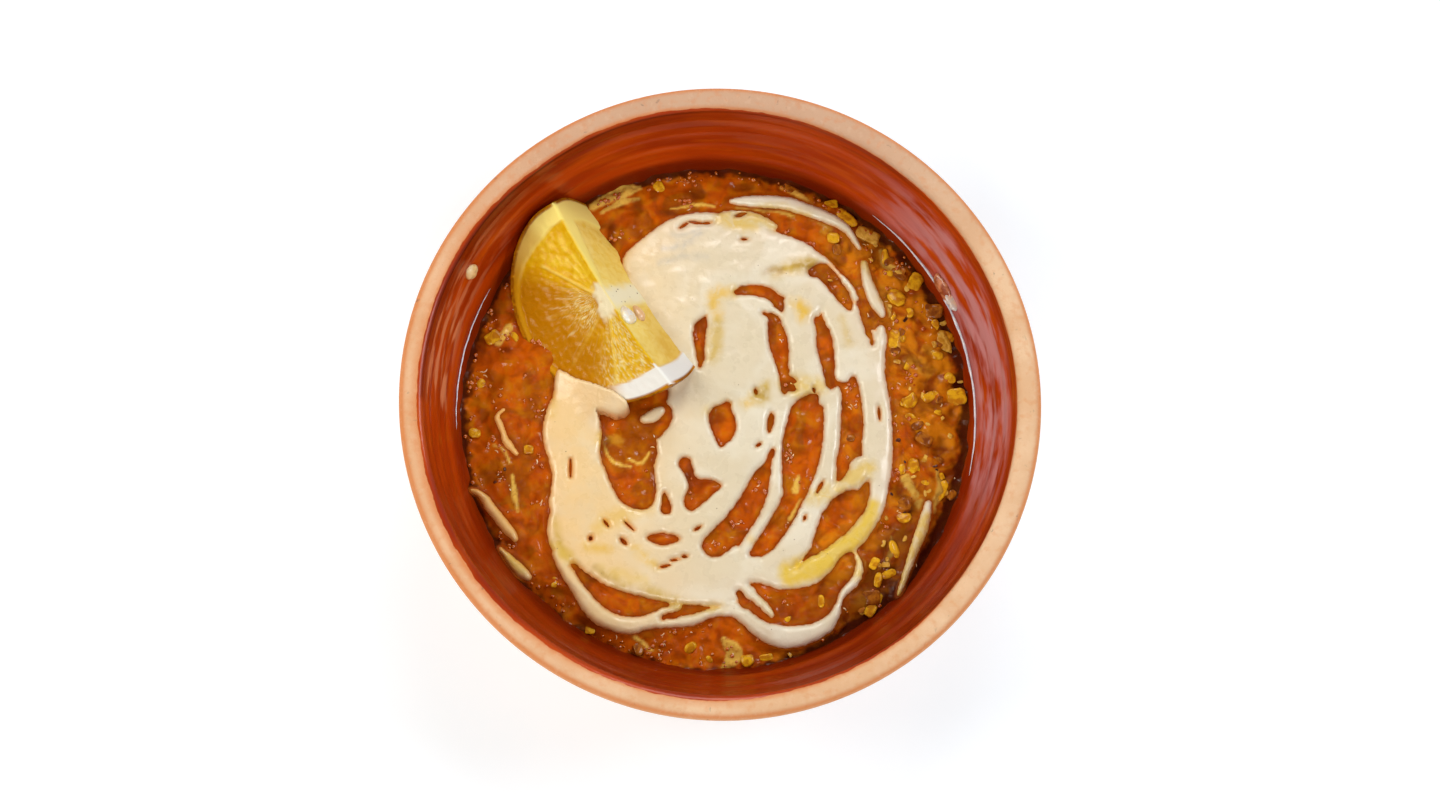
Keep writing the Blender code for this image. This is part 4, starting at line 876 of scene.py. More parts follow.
crease = np.maximum(crease, folds * (0.3 + 0.7 * chunky))
relief = dalShape["lentilHeight"] * (bead * (0.15 + 0.85 * whole) - 0.55)
relief = relief + 0.04 * smallBead + dalShape["mush"] * waves(1.3, 64)
relief = relief + 0.6 * waves(4, 65) + 0.16 * waves(2.1, 74)
relief = relief + dalShape["curdHeight"] * curd - 0.5 * crease
dalTop = dome(gridX, gridY) - bare * (hollows + sunk - heap) + nearCream * relief * (1 - 0.85 * oil)
dalTop = dalTop - 0.35 * oil * nearCream - 0.5 * ease(allCream, 0, 0.8)
dalTop = dalTop + np.exp(-np.maximum(wallRadius - gridR, 0) / 0.55)     # it climbs the wall a little


def dalFinish():
    t = dalTones
    f = Finish("lentil dal, wet", Specular_IOR_Level=0.06, Coat_Roughness=0.05, Coat_IOR=1.45)
    mottle = f.noise(4.2, 1.5, 0.5)
    blotches = f.noise(9, 3, 0.8, (1, 1, 0.6))
    grain = f.noise(1.2, 2, 0.4)
    body = f.layers(
        f.mix(f.fade(blotches, 0.38, 0.64), t["dal"], t["bright"]), t,
        (f.fade(f.noise(13, 3, 1.4), 0.46, 0.64) * 0.75, "umber"),
        (f.fade(mottle, 0.46, 0.74) * 0.5, "golden"),
        (f.fade(mottle, 0.5, 0.26) * 0.5, "deep"),
        (f.fade(f.mask("lentil"), 0.6, 1.0) * 0.22, "golden"),
        (f.fade(f.mask("lentil"), 0.35, 0.0) * 0.25, "skin"),
        (f.fade(grain, 0.6, 0.85) * 0.12, "pale"),
        (f.mask("chunky") * f.fade(f.noise(6, 2, 1.0), 0.35, 0.6) * 0.75, "brown"),
        (f.mask("pale") * f.fade(grain, 0.25, 0.6, 0.5, 1.0), "pale"),
        # painted shade in the creases
        (f.mask("crease") * 0.6, "deep"),
        (f.mask("curd") * f.fade(grain, 0.3, 0.5, 0.6, 1.0), "curd"),
        # painted shade in the hollows between the lumps
        (f.mask("hollow") * 0.5, "gap"),
        # painted shade at the lower right by the wall and in the openings
        (f.mask("dalShade") * 0.68, "gap"),
        # painted shade in the gaps of the chunky part
        (f.mask("chunky") * f.fade(blotches, 0.56, 0.4) * 0.08, "gap"),
        # painted shadow along the cream's edges
        (f.mask("edgeShadow") * 0.55, "deep"),
        (f.mask("oil") * 0.92, "oil"))
    f.set(Base_Color=body, Roughness=f.fade(grain, 0.3, 0.7, 0.3, 0.5) - f.mask("oil") * 0.2,
          Coat_Weight=f.fade(f.noise(2.6, 3), 0.56, 0.7, 0.0, 0.7), Normal=f.bump(f.noise(0.8, 2), 0.06))
    return f


def makeDal():
    x, y, inside, faces = clippedSheet(wallRadius + 0.35 - gridR)
    points = [np.stack([x, y, readGrid(dalTop, x, y)], 1)]
    edge = np.arange(inside, len(x))
    edge = edge[np.argsort(np.arctan2(y[edge], x[edge]))]
    turn = np.arctan2(y[edge], x[edge])
    before, count = edge, len(x)
    rings = [(z, float(innerRadius(z)) - 0.3) for z in dalShape["sideHeights"]]
    for z, r in rings + list(dalShape["floorRings"]):
        points.append(np.stack([r * np.cos(turn), r * np.sin(turn), np.full(len(turn), z)], 1))
        ring = count + np.arange(len(turn))
        faces += np.stack([before, ring, np.roll(ring, -1), np.roll(before, -1)], 1).tolist()
        before, count = ring, count + len(turn)
    points.append(np.array([[0, 0, z]]))
    faces += np.stack([before, np.full(len(turn), count), np.roll(before, -1)], 1).tolist()
    points = np.concatenate(points)
    deepness = 0.55 * hollows / dalShape["lumpDepth"] * (1 + 0.6 * chunky) + 0.5 * (1 - bead) * 0.5
    # painted shade at the lower right by the wall and in the shaded places
    dalShade = np.maximum(ease(gridR, 54, 66) * np.exp(-((gridBearing + 45) / 26) ** 2), shaded)
    masks = {
        "oil": oil * (1 - 0.8 * curd),
        # painted shade in the hollows between the lumps
        "hollow": ease(deepness, 0.42, 0.95) * nearCream * (0.35 + 0.65 * chunky),
        "lentil": beadOwner * bead + 0.35 * (1 - bead), "chunky": chunky, "curd": curd * nearCream,
        "crease": crease * nearCream * (1 - 0.8 * curd), "pale": pale, "dalShade": dalShade,
        # painted shadow along the cream's edges
        "edgeShadow": np.exp(-(np.minimum(allCream, 0) / 0.9) ** 2),
    }
    under = np.zeros(len(points) - len(x))
    addPiece("mashed_lentil_dal", points, faces, dalFinish(), ["dal"],
             {key: np.concatenate([readGrid(field, x, y), under]) for key, field in masks.items()})


makeDal()
print("dal made")

# The cream
creamTones = {
    "cream": tone(224, 211, 182), "warm": tone(240, 206, 146), "gold": tone(240, 180, 84),
    "wrinkleShade": tone(186, 184, 180), "white": tone(232, 223, 200), "edge": tone(222, 144, 40),
    "yellow": tone(228, 184, 50), "olive": tone(204, 168, 46), "khaki": tone(222, 190, 96),
    "brown": tone(156, 116, 24), "yolk": tone(226, 192, 62), "fleck": tone(120, 84, 40),
}


def creamFinish():
    t = creamTones
    f = Finish("cream", Coat_Roughness=0.08, Coat_IOR=1.4, Coat_Weight=0.35)
    base = f.layers(
        f.mix(f.fade(f.noise(16, 3, 0.6), 0.4, 0.64), t["cream"], t["white"]), t,
        # painted warm light: the cream is tinted warm and gold toward the left
        (f.mask("warm") * f.fade(f.noise(7, 3), 0.25, 0.6, 0.7, 1.0), "warm"),
        (f.mask("edge"), "edge"),
        (f.mask("gold"), "gold"))
    for kind in ("khaki", "yellow", "olive", "yolk", "brown", "wrinkleShade"):
        ragged = f.fade(f.noise(3.6, 4, 0.9), 0.32, 0.58, 0.85 if kind == "yolk" else 0.5, 1.0)
        base = f.mix(f.mask(kind) * ragged, base, t[kind])
    flecks = f.fade(f.cells(2.9), 0.075, 0.045) * f.fade(f.noise(5, 2), 0.5, 0.6) * 0.7
    base = f.mix(flecks, base, t["fleck"])
    f.set(Base_Color=base, Roughness=f.fade(f.noise(4, 3), 0.35, 0.65, 0.24, 0.42))
    f.set(Normal=f.bump(f.noise(1.6, 3, 0.5), 0.12))
    return f


def makeCream(name, field, middle, node, finish, thick=1.0, onLemon=False):
    s = creamShape
    x, y, inside, faces = clippedSheet(field)
    depth = np.maximum(readGrid(field, x, y), 0)
    depth[inside:] = 0
    near = np.clip(depth / (s["shoulder"] * (0.55 + 0.45 * thick)), 0, 1)
    shoulder = np.sqrt(1 - (1 - near) ** 2)
    crown = readGrid(soften(middle, 3), x, y)
    stroke = ripple(x * 0.5 + y * 0.2, y * 0.9 - x * 0.15, 4.2, 81) + 0.5 * ripple(x, y, 2.1, 82)
    body = s["thickness"] * (0.72 + 0.28 * ease(ripple(x, y, 11, 83), -0.6, 0.6))
    body = body + s["crown"] * (crown - 0.35) + s["ripple"] * stroke
    height = thick * np.clip(body, 0.5, 2.15) * shoulder
    base = dome(x, y) - s["sunk"]
    top = base + (height + s["sunk"]) * shoulder ** 0.5
    bottom = base[:inside] - 0.25
    if onLemon:
        top = top + riseOnLemon(x, y, top) * ease(depth, 0, 0.8)
        bottom = np.minimum(bottom, top[:inside] - 0.3)
    points = np.concatenate([np.stack([x, y, top], 1), np.stack([x[:inside], y[:inside], bottom], 1)])
    under = np.concatenate([len(x) + np.arange(inside), np.arange(inside, len(x))])
    faces = faces + [[int(under[k]) for k in reversed(face)] for face in faces]
    masks = {kind: readGrid(stain, x, y) for kind, stain in stained.items()}
    # painted warm light: warmer and more golden toward the left
    masks["warm"] = ease(-x, -8, 46) * 0.95
    masks["gold"] = ease(-x, 50, 62) * 0.6
    masks["edge"] = (1 - ease(depth, 0.05, 0.55 + 0.35 * ease(-x, 0, 40))) * 0.75
    addPiece(name, points, faces, finish, [node],
             {key: np.concatenate([values, values[:inside]]) for key, values in masks.items()})


cream = creamFinish()
makeCream("poured_cream_swirl", swirl, pourMiddle, "cream_swirl", cream, 1.0, True)
for node, field in apart.items():
    makeCream("poured_" + node, field, apartMiddle[node], node, cream, 0.75)
print("cream made")

# The lemon
lemonTones = {
    "pith": tone(255, 236, 132), "whitePith": tone(240, 240, 234), "goldPith": tone(206, 146, 14),
    "flesh": tone(222, 162, 4), "amber": tone(190, 124, 2), "bright": tone(232, 182, 8),
    "pale": tone(242, 206, 52), "lengthwise": tone(254, 232, 140), "rind": tone(200, 130, 4),
    "rindDeep": tone(150, 88, 6), "membrane": tone(238, 206, 92), "core": tone(240, 228, 188),
    "fibre": tone(236, 222, 160), "speck": tone(110, 66, 24), "seed": tone(240, 224, 186),
    "peach": tone(232, 172, 100), "seedLine": tone(150, 88, 24),
}
lemonMasks = ("pith", "rind", "amber", "bright", "membrane", "core", "fibre", "white", "speckled", "light")


def lemonFinish():
    t = lemonTones
    f = Finish("lemon", Specular_IOR_Level=0.06, Coat_Roughness=0.1, Coat_IOR=1.4)
    pulp = f.noise(2.4, 4, 0.6)
    flesh = f.mix(f.fade(pulp, 0.36, 0.64), t["flesh"], t["bright"])
    flesh = f.mix(f.mask("amber"), flesh, t["amber"])
    flesh = f.mix(f.mask("bright"), flesh, f.mix(f.fade(pulp, 0.3, 0.7), t["bright"], t["pale"]))
    flesh = f.mix(f.mask("fibre"), flesh, t["fibre"])
    light = f.mix(f.fade(pulp, 0.2, 0.7, 0.35, 1.0), t["pale"], t["lengthwise"])
    flesh = f.mix(f.mask("light"), flesh, light)
    flesh = f.layers(flesh, t, (f.mask("membrane"), "membrane"), (f.mask("core"), "core"))
    pith = f.layers(
        f.mix(f.mask("white"), t["pith"], t["whitePith"]), t,
        (f.mask("amber"), "goldPith"),
        (f.fade(f.cells(1.9), 0.16, 0.1) * f.mask("speckled"), "speck"))
    cut = f.mix(f.mask("pith"), flesh, pith)
    zest = f.mix(f.fade(f.noise(6, 3), 0.35, 0.65), t["rindDeep"], t["rind"])
    zest = f.mix(f.mask("bright") * 0.7, zest, t["bright"])
    pores = f.bump(f.fade(f.cells(1.4), 0.1, 0.5) * f.mask("rind"), 0.25)
    f.set(Base_Color=f.mix(f.mask("rind"), cut, zest), Roughness=f.fade(f.mask("pith"), 0, 1, 0.24, 0.55),
          Coat_Weight=f.fade(f.mask("pith"), 0, 1, 0.22, 0.03),
          Normal=f.bump(pulp * (1.0 - f.mask("pith")), 0.16, f.bump(f.noise(0.9, 2), 0.06, pores)))
    return f


def seedFinish():
    t = lemonTones
    f = Finish("lemon seed", Roughness=0.25, Coat_Weight=0.6, Coat_Roughness=0.1)
    skin = f.mix(f.fade(f.noise(1.6, 3, 0.8), 0.35, 0.65), t["seed"], t["whitePith"])
    skin = f.mix(f.mask("peach"), skin, t["peach"])
    f.set(Base_Color=f.mix(f.mask("line"), skin, t["seedLine"]), Normal=f.bump(f.noise(0.7, 2), 0.08))
    return f


# Walls of the flesh that run out from the core, theta degrees around it and r away from it
def wheelLines(theta, r, lines, width):
    found = np.zeros(theta.shape)
    for angle, strength, start, end in lines:
        off = np.radians(np.abs(theta - angle)) * np.maximum(r, 1)
        reached = ease(r, start, start + 2) * ease(end - r, 0, 1.5)
        found = np.maximum(found, strength * (1 - ease(off, width * 0.3, width)) * reached)
    return found


# A point of the lemon: a runs along the ridge, b down the crosswise cut and c down the lengthwise cut
def lemonPlace(a, b, c):
    s = lemonShape
    ridge, left, across, along = (np.array(v) for v in lemonFrame())
    near = b * b + c * c
    bend = s["bend"] * (a / s["radius"]) ** 2 * np.exp(-near / s["fade"] ** 2)
    bend = bend * np.where(a > 0, s["farBend"], 1)
    a = a - s["tipCut"] * np.exp(-near / 30) * ease(a, 24, 32)
    a = a + s["tipFull"] * np.exp(-((c - 14) / 7) ** 2) * ease(a, 18, 30)
    turn = np.radians(s["twist"]) * a / s["radius"]
    cosT, sinT = np.cos(turn)[..., None], np.sin(turn)[..., None]
    dot = float(np.dot(ridge, along))
    twisted = along * cosT + np.cross(ridge, along) * sinT + ridge * dot * (1 - cosT)
    return (np.array(s["centre"]) + ridge * a[..., None] + across * (b * s["width"])[..., None]
            + twisted * c[..., None] - left * bend[..., None])


def lemonDepth(t, far):
    s = lemonShape
    return s["length"] * np.sin(t) ** (s["blunt"] - s["farBlunt"] * np.maximum(far, 0))


def rindSheet(tilts, angles):
    t, w = np.meshgrid(tilts, angles, indexing="ij")
    near = ease(lemonShape["radius"] * np.sin(w), 0, 1.5) * ease(t, 0, 0.06)
    pores = 0.22 * ripple(np.degrees(w) * 0.55, np.degrees(t) * 0.55, 1.5, 91) * near
    swell = 0.5 * ripple(np.degrees(w) * 0.5, np.degrees(t) * 0.5, 16, 92) * near
    r = lemonShape["radius"] + pores + swell
    masks = {"rind": 1.0, "bright": ease(np.cos(w), -0.2, 0.9) * 0.9}
    return r * np.cos(t) * np.cos(w), r * np.cos(t) * np.sin(w), lemonDepth(t, np.cos(w)), masks


# The crosswise cut, a wheel with its core
def wheelSheet(shares, angles):
    radius = lemonShape["radius"]
    q, w = np.meshgrid(shares, angles, indexing="ij")
    r = radius * q
    a, b = r * np.cos(w), r * np.sin(w)
    theta = np.degrees(np.arctan2(b - 0.6, a + 2))
    fromCore = np.hypot(a + 2, b - 0.6)
    away = np.minimum(b / 2, 1)
    inner = radius - 4.3 + 1.8 * ease(theta, 14, 40) - 3.2 * ease(a, 14, 30)
    inner = inner - 6.4 * ease(-a, 17, 31) + 0.5 * ripple(a, b, 6, 93)
    pith = ease(r - inner, -0.5, 0.5)
    flesh = 1 - pith
    star = 4.8 + 1.3 * np.cos(np.radians(theta * 3 - 30)) + 0.6 * ripple(a, b, 2, 94)
    core = 1 - ease(fromCore - star + 0.8 * ripple(a, b, 1.6, 121), -1.2, 1)
    membrane = wheelLines(theta, fromCore, lemonShape["walls"], 0.75) * flesh
    rays = ripple(theta * 0.42 + 4, fromCore * 0.16, 1.0, 95)
    rayField = ease(rays, 0.25, 0.75) * ease(fromCore, 3.5, 7) * (1 - ease(fromCore, 17, 24))
    crinkle = np.exp(-(ripple(theta * 0.3, fromCore * 0.45, 1.1, 123) / 0.14) ** 2)
    besideCore = ease(theta, 34, 46) * (1 - ease(theta, 96, 120)) * (1 - ease(fromCore, 9, 16))
    crinkle = crinkle * np.maximum(ease(theta, 128, 150), besideCore) * ease(fromCore, 3, 6)
    rayed = 0.1 + 0.4 * ease(theta, 36, 50) * (1 - ease(theta, 95, 120))
    amber = ease(theta, 33, 52) * (0.55 + 0.45 * ease(fromCore, 9, 20)) * (1 - 0.5 * ease(theta, 120, 150))
    amberPith = (0.5 * ease(theta, 12, 22) + 0.5 * ease(theta, 24, 50)) * (1 - ease(theta, 138, 156))
    bright = (1 - ease(theta, 24, 34)) * (0.7 + 0.3 * ease(rays, -0.6, 0.6)) * 0.8
    bright = bright + 0.5 * ease(theta, 140, 152)
    vesicle = 0.06 * rays + 0.07 * ripple(theta * 0.36, fromCore * 0.3, 1.3, 96)
    vesicle = (vesicle + 0.06 * ripple(a, b, 1.4, 97)) * (0.22 + 0.6 * ease(theta, 30, 40)) - 0.14 * crinkle
    sink = lemonShape["sink"] + vesicle * ease(fromCore, 3, 6) - 0.4 * membrane
    sink = sink * flesh * (1 - core) * away + 0.12 * ripple(a, b, 1.9, 98) * ease(1 - q, 0, 0.1) * away
    masks = {
        "pith": pith, "rind": ease(r, radius - 1.3, radius - 0.7) * ease(away, 0, 0.6),
        "amber": amber * flesh + amberPith * pith, "bright": bright * flesh, "membrane": membrane,
        "core": core, "fibre": 0.95 * crinkle * flesh + rayField * rayed * flesh, "white": ease(-a, 12, 22),
    }
    return a, b, sink, masks


# The lengthwise cut
def lengthSheet(shares, tilts):
    radius = lemonShape["radius"]
    q, t = np.meshgrid(np.concatenate([shares, -shares[::-1][1:]]), tilts, indexing="ij")
    a, c = radius * q * np.cos(t), lemonDepth(t, q)
    edge = radius * np.abs(q)
    inner = radius - 4.6 - 3.4 * ease(a, 4, 24) - 2.5 * ease(c, 12, 24) - 2.4 * ease(-a, 18, 30)
    pith = ease(edge - inner, -0.6, 0.6)
    flesh = 1 - pith
    band = np.exp(-np.abs((a + 1.2 + 0.04 * c + 0.9 * ripple(a, c, 3, 122)) / 4.2) ** 4)
    topStrip = ease(a, 0, 2) * (1 - ease(c - (1.6 + 0.24 * a), -0.8, 0.8))
    lowStrip = (1 - ease(a + 10, -1, 1)) * (1 - ease(c - 0.5 + 1.2 * ease(-a, 22, 30), -0.5, 0.9))
    pale = np.clip(np.maximum(band, np.maximum(topStrip, lowStrip)), 0, 1)
    grain = ripple(a * 0.22, c * 1.4, 1.6, 99)
    near = np.minimum(c / 2, 1)
    dip = lemonShape["sink"] * 0.9 + 0.12 * grain + 0.08 * ripple(a, c, 1.2, 100)
    sink = near * (1 - np.maximum(pith, pale)) * dip
    sink = sink + 0.04 * ripple(a, c, 1.3, 101) * near * ease(np.clip(np.cos(t), 0.1, 1), 0.1, 0.3)
    masks = {
        "pith": np.maximum(pith, pale), "rind": ease(edge, radius - 1.2, radius - 0.6) * ease(c, 0, 3),
        "bright": flesh * ease(a, -2, 12) * 0.75, "white": np.maximum(ease(-a, 14, 24), band * 0.6),
        "amber": flesh * ease(-a, 4, 12) * 0.35, "speckled": band * 0.8,
        "light": flesh * (0.95 - 0.2 * ease(-a, 12, 20) - 0.35 * ease(c, 5, 12)),
        "membrane": 0.3 * ease(grain, 0.3, 0.8) * flesh,
    }
    return a, sink, c, masks


def makeLemon():
    radius = lemonShape["radius"]
    shares = np.concatenate([np.linspace(1, 1 - 1.6 / radius, 6), np.linspace(1 - 2.2 / radius, 0, 56)])
    angles = np.radians(np.linspace(0, 180, 181))
    tilts = np.radians(np.linspace(0, 90, 70))
    points, faces, gathered = [], [], {key: [] for key in lemonMasks}
    count = 0
    sheets = (rindSheet(tilts, angles), wheelSheet(shares, angles), lengthSheet(shares, tilts))
    for a, b, c, masks in sheets:
        number = count + np.arange(a.size).reshape(a.shape)
        corners = [number[:-1, :-1], number[:-1, 1:], number[1:, 1:], number[1:, :-1]]
        if "core" in masks:     # so that the faces of the wheel look outward too
            corners.reverse()
        faces += np.stack(corners, -1).reshape(-1, 4).tolist()
        points.append(lemonPlace(a, b, c).reshape(-1, 3))
        for key, values in gathered.items():
            values.append(np.broadcast_to(masks.get(key, 0.0), a.shape).reshape(-1))
        count += a.size
    masks = {key: np.concatenate(values) for key, values in gathered.items()}
    points, faces, masks = weld(np.concatenate(points), faces, masks)
    addPiece("cut_lemon_wedge", points, faces, lemonFinish(), ["lemon_wedge"], masks)


def makeSeeds():
    ridge, _, _, along = (np.array(v) for v in lemonFrame())
    outward = np.cross(ridge, along)
    pips = seedFinish()
    u, v, pattern = ball(25, 40)
    blunt = 1 - 0.22 * np.cos(u)
    for k, (a, c, long, wide, high) in enumerate(lemonShape["seeds"]):
        px = long / 2 * np.cos(u)
        py = high / 2 * np.sin(u) * np.sin(v) * blunt
        pz = wide / 2 * np.sin(u) * np.cos(v) * blunt
        bumpy = 1 + 0.05 * ripple(px, pz, 1.5, 110 + k)
        spots = (np.array(lemonShape["centre"]) + ridge * a + along * c + (px * bumpy)[..., None] * ridge
                 + (py * bumpy)[..., None] * outward + (pz * bumpy)[..., None] * along)
        rim = np.clip(1 - np.abs(np.sin(u) * np.sin(v)) * 2.2, 0, 1) * ease(pz, -0.4 * wide, 0.5 * wide)
        seed = Gathered()
        seed.add(*np.moveaxis(spots, -1, 0), pattern, line=rim * 0.8, peach=np.full(u.shape, 0.75 * k))
        seed.finishPiece(f"lemon_seed_{k + 1}", pips, "lemon", ["lemon_wedge"])


makeLemon()
makeSeeds()
print("lemon made")

# Lentils and scraps that lie on the dal: place, length and width, and the turn of the length in degrees
lentilPlaces = (
    (23, 69.2, 5.4, 2.2, -25), (35, 66.2, 4, 3, 10), (40.6, 63.2, 6, 3, -40), (46, 56.4, 6.4, 3.6, -22),
    (34.6, 54.2, 3.6, 3.3, 0), (50.2, 48.2, 5, 2.1, -75), (54, 43.2, 4.4, 2.2, -35),
    (60.8, 42.6, 4.6, 3.6, 60), (53.2, 36.4, 5, 4, -40), (64.7, 32.6, 4.4, 3.8, 0), (52, 23.6, 5, 2.7, 80),
    (68.4, 23.8, 5.8, 3, -65), (64.6, 28.4, 3, 2, 90), (70.4, 6.6, 4.8, 4.4, 10), (64.8, 18.8, 3, 2.2, 0),
    (54.6, -25.4, 4.2, 3.6, 20), (54, -29.4, 3.8, 2.5, 0), (65.6, -21, 5.6, 2.3, 70),
    (44.4, -52.6, 4.4, 3.8, 0), (44.8, -57, 3.4, 2.8, 60), (46.4, -47.4, 3.8, 2, 80),
    (49.6, -45.6, 3.6, 2, 20), (51.2, -38.6, 4.6, 2.3, -70), (45.2, -42.6, 3.2, 2.2, 60),
    (8.4, -71, 3.8, 3.4, 0), (14, -70.2, 4, 2, 8), (-2.6, -70.4, 2.4, 1.6, -50),
    (-23, -67.2, 4.2, 2.8, -70), (-37.6, -63.4, 3, 2.5, 0), (-70.6, -4.6, 3.8, 3, 0),
    (-54.8, -9.8, 2.9, 2.7, 0), (-8, -67, 4, 2.8, 40), (56.6, 5, 4, 3, 30), (60.4, -6, 4.4, 3.2, -30),
    (57, -14, 3.8, 2.8, 70), (-65.6, 23.6, 5, 3.6, 34), (-69, 10, 3, 2.4, 60),
)
lentilShape = {
    "placedLift": 0.55, "scatteredLift": 0.42, "thickness": 0.42, "thickest": 1.6, "grown": 1.18,
    "grownFrom": 40, "reach": 73.5, "wallGap": 0.9, "bends": (0.06, 0.5), "corners": (0.5, 0.8, 0.62, 1.0),
}
# the scattered ones: how many, their size and their two tones
lentilKinds = {
    "yellow lentils": {"count": 24, "size": 3.0, "tone": tone(228, 172, 24), "deep": tone(186, 116, 8)},
    "brown lentils": {"count": 14, "size": 3.0, "tone": tone(176, 104, 20), "deep": tone(126, 62, 8)},
    "khaki scraps": {"count": 30, "size": 1.8, "tone": tone(224, 178, 76), "deep": tone(184, 124, 26)},
    "dark scraps": {"count": 16, "size": 1.2, "tone": tone(96, 40, 14), "deep": tone(48, 18, 8)},
}


def lentilFinish(name):
    t = lentilKinds[name]
    f = Finish(name, Roughness=0.4, Specular_IOR_Level=0.1, Coat_Weight=0.35, Coat_Roughness=0.08)
    skin = f.mix(f.fade(f.noise(2.2, 4, 0.5), 0.36, 0.62), t["deep"], t["tone"])
    skin = f.mix(f.fade(f.noise(0.7, 2), 0.62, 0.76) * 0.5, skin, t["deep"])
    # the lower half of each lentil is darker: painted shade
    f.set(Base_Color=f.mix(f.mask("low") * 0.55, skin, t["deep"]), Normal=f.bump(f.noise(0.8, 3), 0.15))
    return f


# Place, length, width, turn and lift of every lentil and scrap, by kind
def scatterLentils():
    s = lentilShape
    rng = np.random.default_rng(7)
    heaps = {name: [] for name in lentilKinds}
    for k, (x, y, length, width, turn) in enumerate(lentilPlaces):
        kind = "yellow lentils" if k % 3 or length < 4 else "brown lentils"
        if length > 5.6 and k % 2:
            kind = "khaki scraps"
        grown = s["grown"] if x > s["grownFrom"] else 1.0
        x, y = x + serving[0], y + serving[1]
        heaps[kind].append((x, y, length * grown, width * grown, turn, s["placedLift"]))
    for name, kind in lentilKinds.items():
        made = 0
        while made < kind["count"]:
            x, y = rng.uniform(-74, 74, 2)
            length = kind["size"] * rng.uniform(0.7, 1.4)
            pull = readGrid(chunky, x, y) * 0.9 + 0.1 * (math.hypot(x, y) > 62)
            chance = rng.random()
            turn = rng.uniform(0, 180)
            if math.hypot(x, y) > s["reach"] or readGrid(allCream, x, y) > -length * 0.6 or chance > pull:
                continue
            heaps[name].append((x, y, length, length * rng.uniform(0.5, 0.85), turn, s["scatteredLift"]))
            made += 1
    return heaps


def makeLentils():
    s = lentilShape
    u, v, pattern = ball(13, 20)
    for name, heap in scatterLentils().items():
        pile = Gathered()
        for k, (x, y, length, width, turn, lift) in enumerate(heap):
            height = min(s["thickness"] * width, s["thickest"])
            pull = min((wallRadius - s["wallGap"] - length / 2) / math.hypot(x, y), 1)
            blunt = s["corners"][k % 4]
            px = length / 2 * np.sign(np.cos(u)) * np.abs(np.cos(u)) ** blunt
            py = width / 2 * np.sin(u) ** blunt * np.sign(np.cos(v)) * np.abs(np.cos(v)) ** blunt
            pz = height / 2 * np.sin(u) ** blunt * np.sign(np.sin(v)) * np.abs(np.sin(v)) ** blunt
            pz = pz + 0.14 * ((k % 5) - 2) * py + 0.08 * ((k % 3) - 1) * px
            bent = 1 + 0.12 * ripple(px + 9.7 * k, py, 1.6, 120)
            px, py = px * bent, py * bent + s["bends"][k % 7 == 3] * px * px / length
            gx, gy = turned(x * pull, y * pull, px, py, math.radians(turn))
            ground = float(np.median(readGrid(dalTop, gx, gy)))
            gz = ground + height * (lift - 0.4) + pz * bent
            # the lower half is painted darker: painted shade
            pile.add(gx, gy, gz, pattern, low=ease(-pz, -0.25 * height, 0.25 * height))
        pile.finishPiece(name.replace(" ", "_"), lentilFinish(name), "lentil dal", ["dal"])


makeLentils()
print("lentils laid on")

# What shines on the dal: a painted highlight along the edge of the oil at the wall, droplets, flecks painted
# as glints, and bits that stick to the wall, one of them a painted highlight
shine = {
    "edges": {"oil_edge_highlight_right": (52, -14, 0.8), "oil_edge_highlight_left": (184, 151, 0.45)},      # bearings and width
    "edgeHeight": 34.7, "edgeSteps": 140, "droplets": 460, "dropletSize": (0.25, 0.75), "dropletReach": 73.6,
    "flecks": 120, "fleckLength": (0.25, 0.75), "fleckWidth": (0.12, 0.2), "fleckReach": 73.2,
    "stuck": {      # bearing, height on the wall, length along it, width up it, thickness and look
        "red_skin_on_the_wall": (29.4, 36.4, 9, 4.6, 2.2, "red skin"),
        # a pale bit beside the red skin: painted highlight
        "highlight_on_the_red_skin": (25.6, 36.8, 6.4, 1.8, 2.6, "painted highlight on the skin"),
        "cream_splash_on_the_wall": (151.7, 48, 4.6, 6, 2.6, "splashed cream"),
    },
}
shineLooks = {      # two tones, roughness and wet coat
    "painted highlight on the oil edge": (tone(206, 208, 224), tone(236, 238, 246), 0.2, 0.5),
    "oil droplets": (tone(176, 74, 2), tone(190, 96, 6), 0.12, 1.0),
    # pale flecks: painted glints
    "glint": (tone(236, 196, 130), tone(250, 232, 200), 0.25, 0.5),
    "red skin": (tone(150, 66, 26), tone(220, 142, 96), 0.3, 0.6),
    # the pale bit beside the red skin: painted highlight
    "painted highlight on the skin": (tone(206, 200, 196), tone(226, 190, 160), 0.3, 0.6),
    "splashed cream": (tone(238, 196, 128), tone(246, 214, 158), 0.3, 0.4),
}


def shineFinish(name):
    first, second, rough, coat = shineLooks[name]
    f = Finish(name, Roughness=rough, Coat_Weight=coat, Coat_Roughness=0.05)
    f.set(Base_Color=f.mix(f.fade(f.noise(2.2, 3, 0.6), 0.35, 0.65), first, second),
          Normal=f.bump(f.noise(1.2, 2), 0.06))
    return f


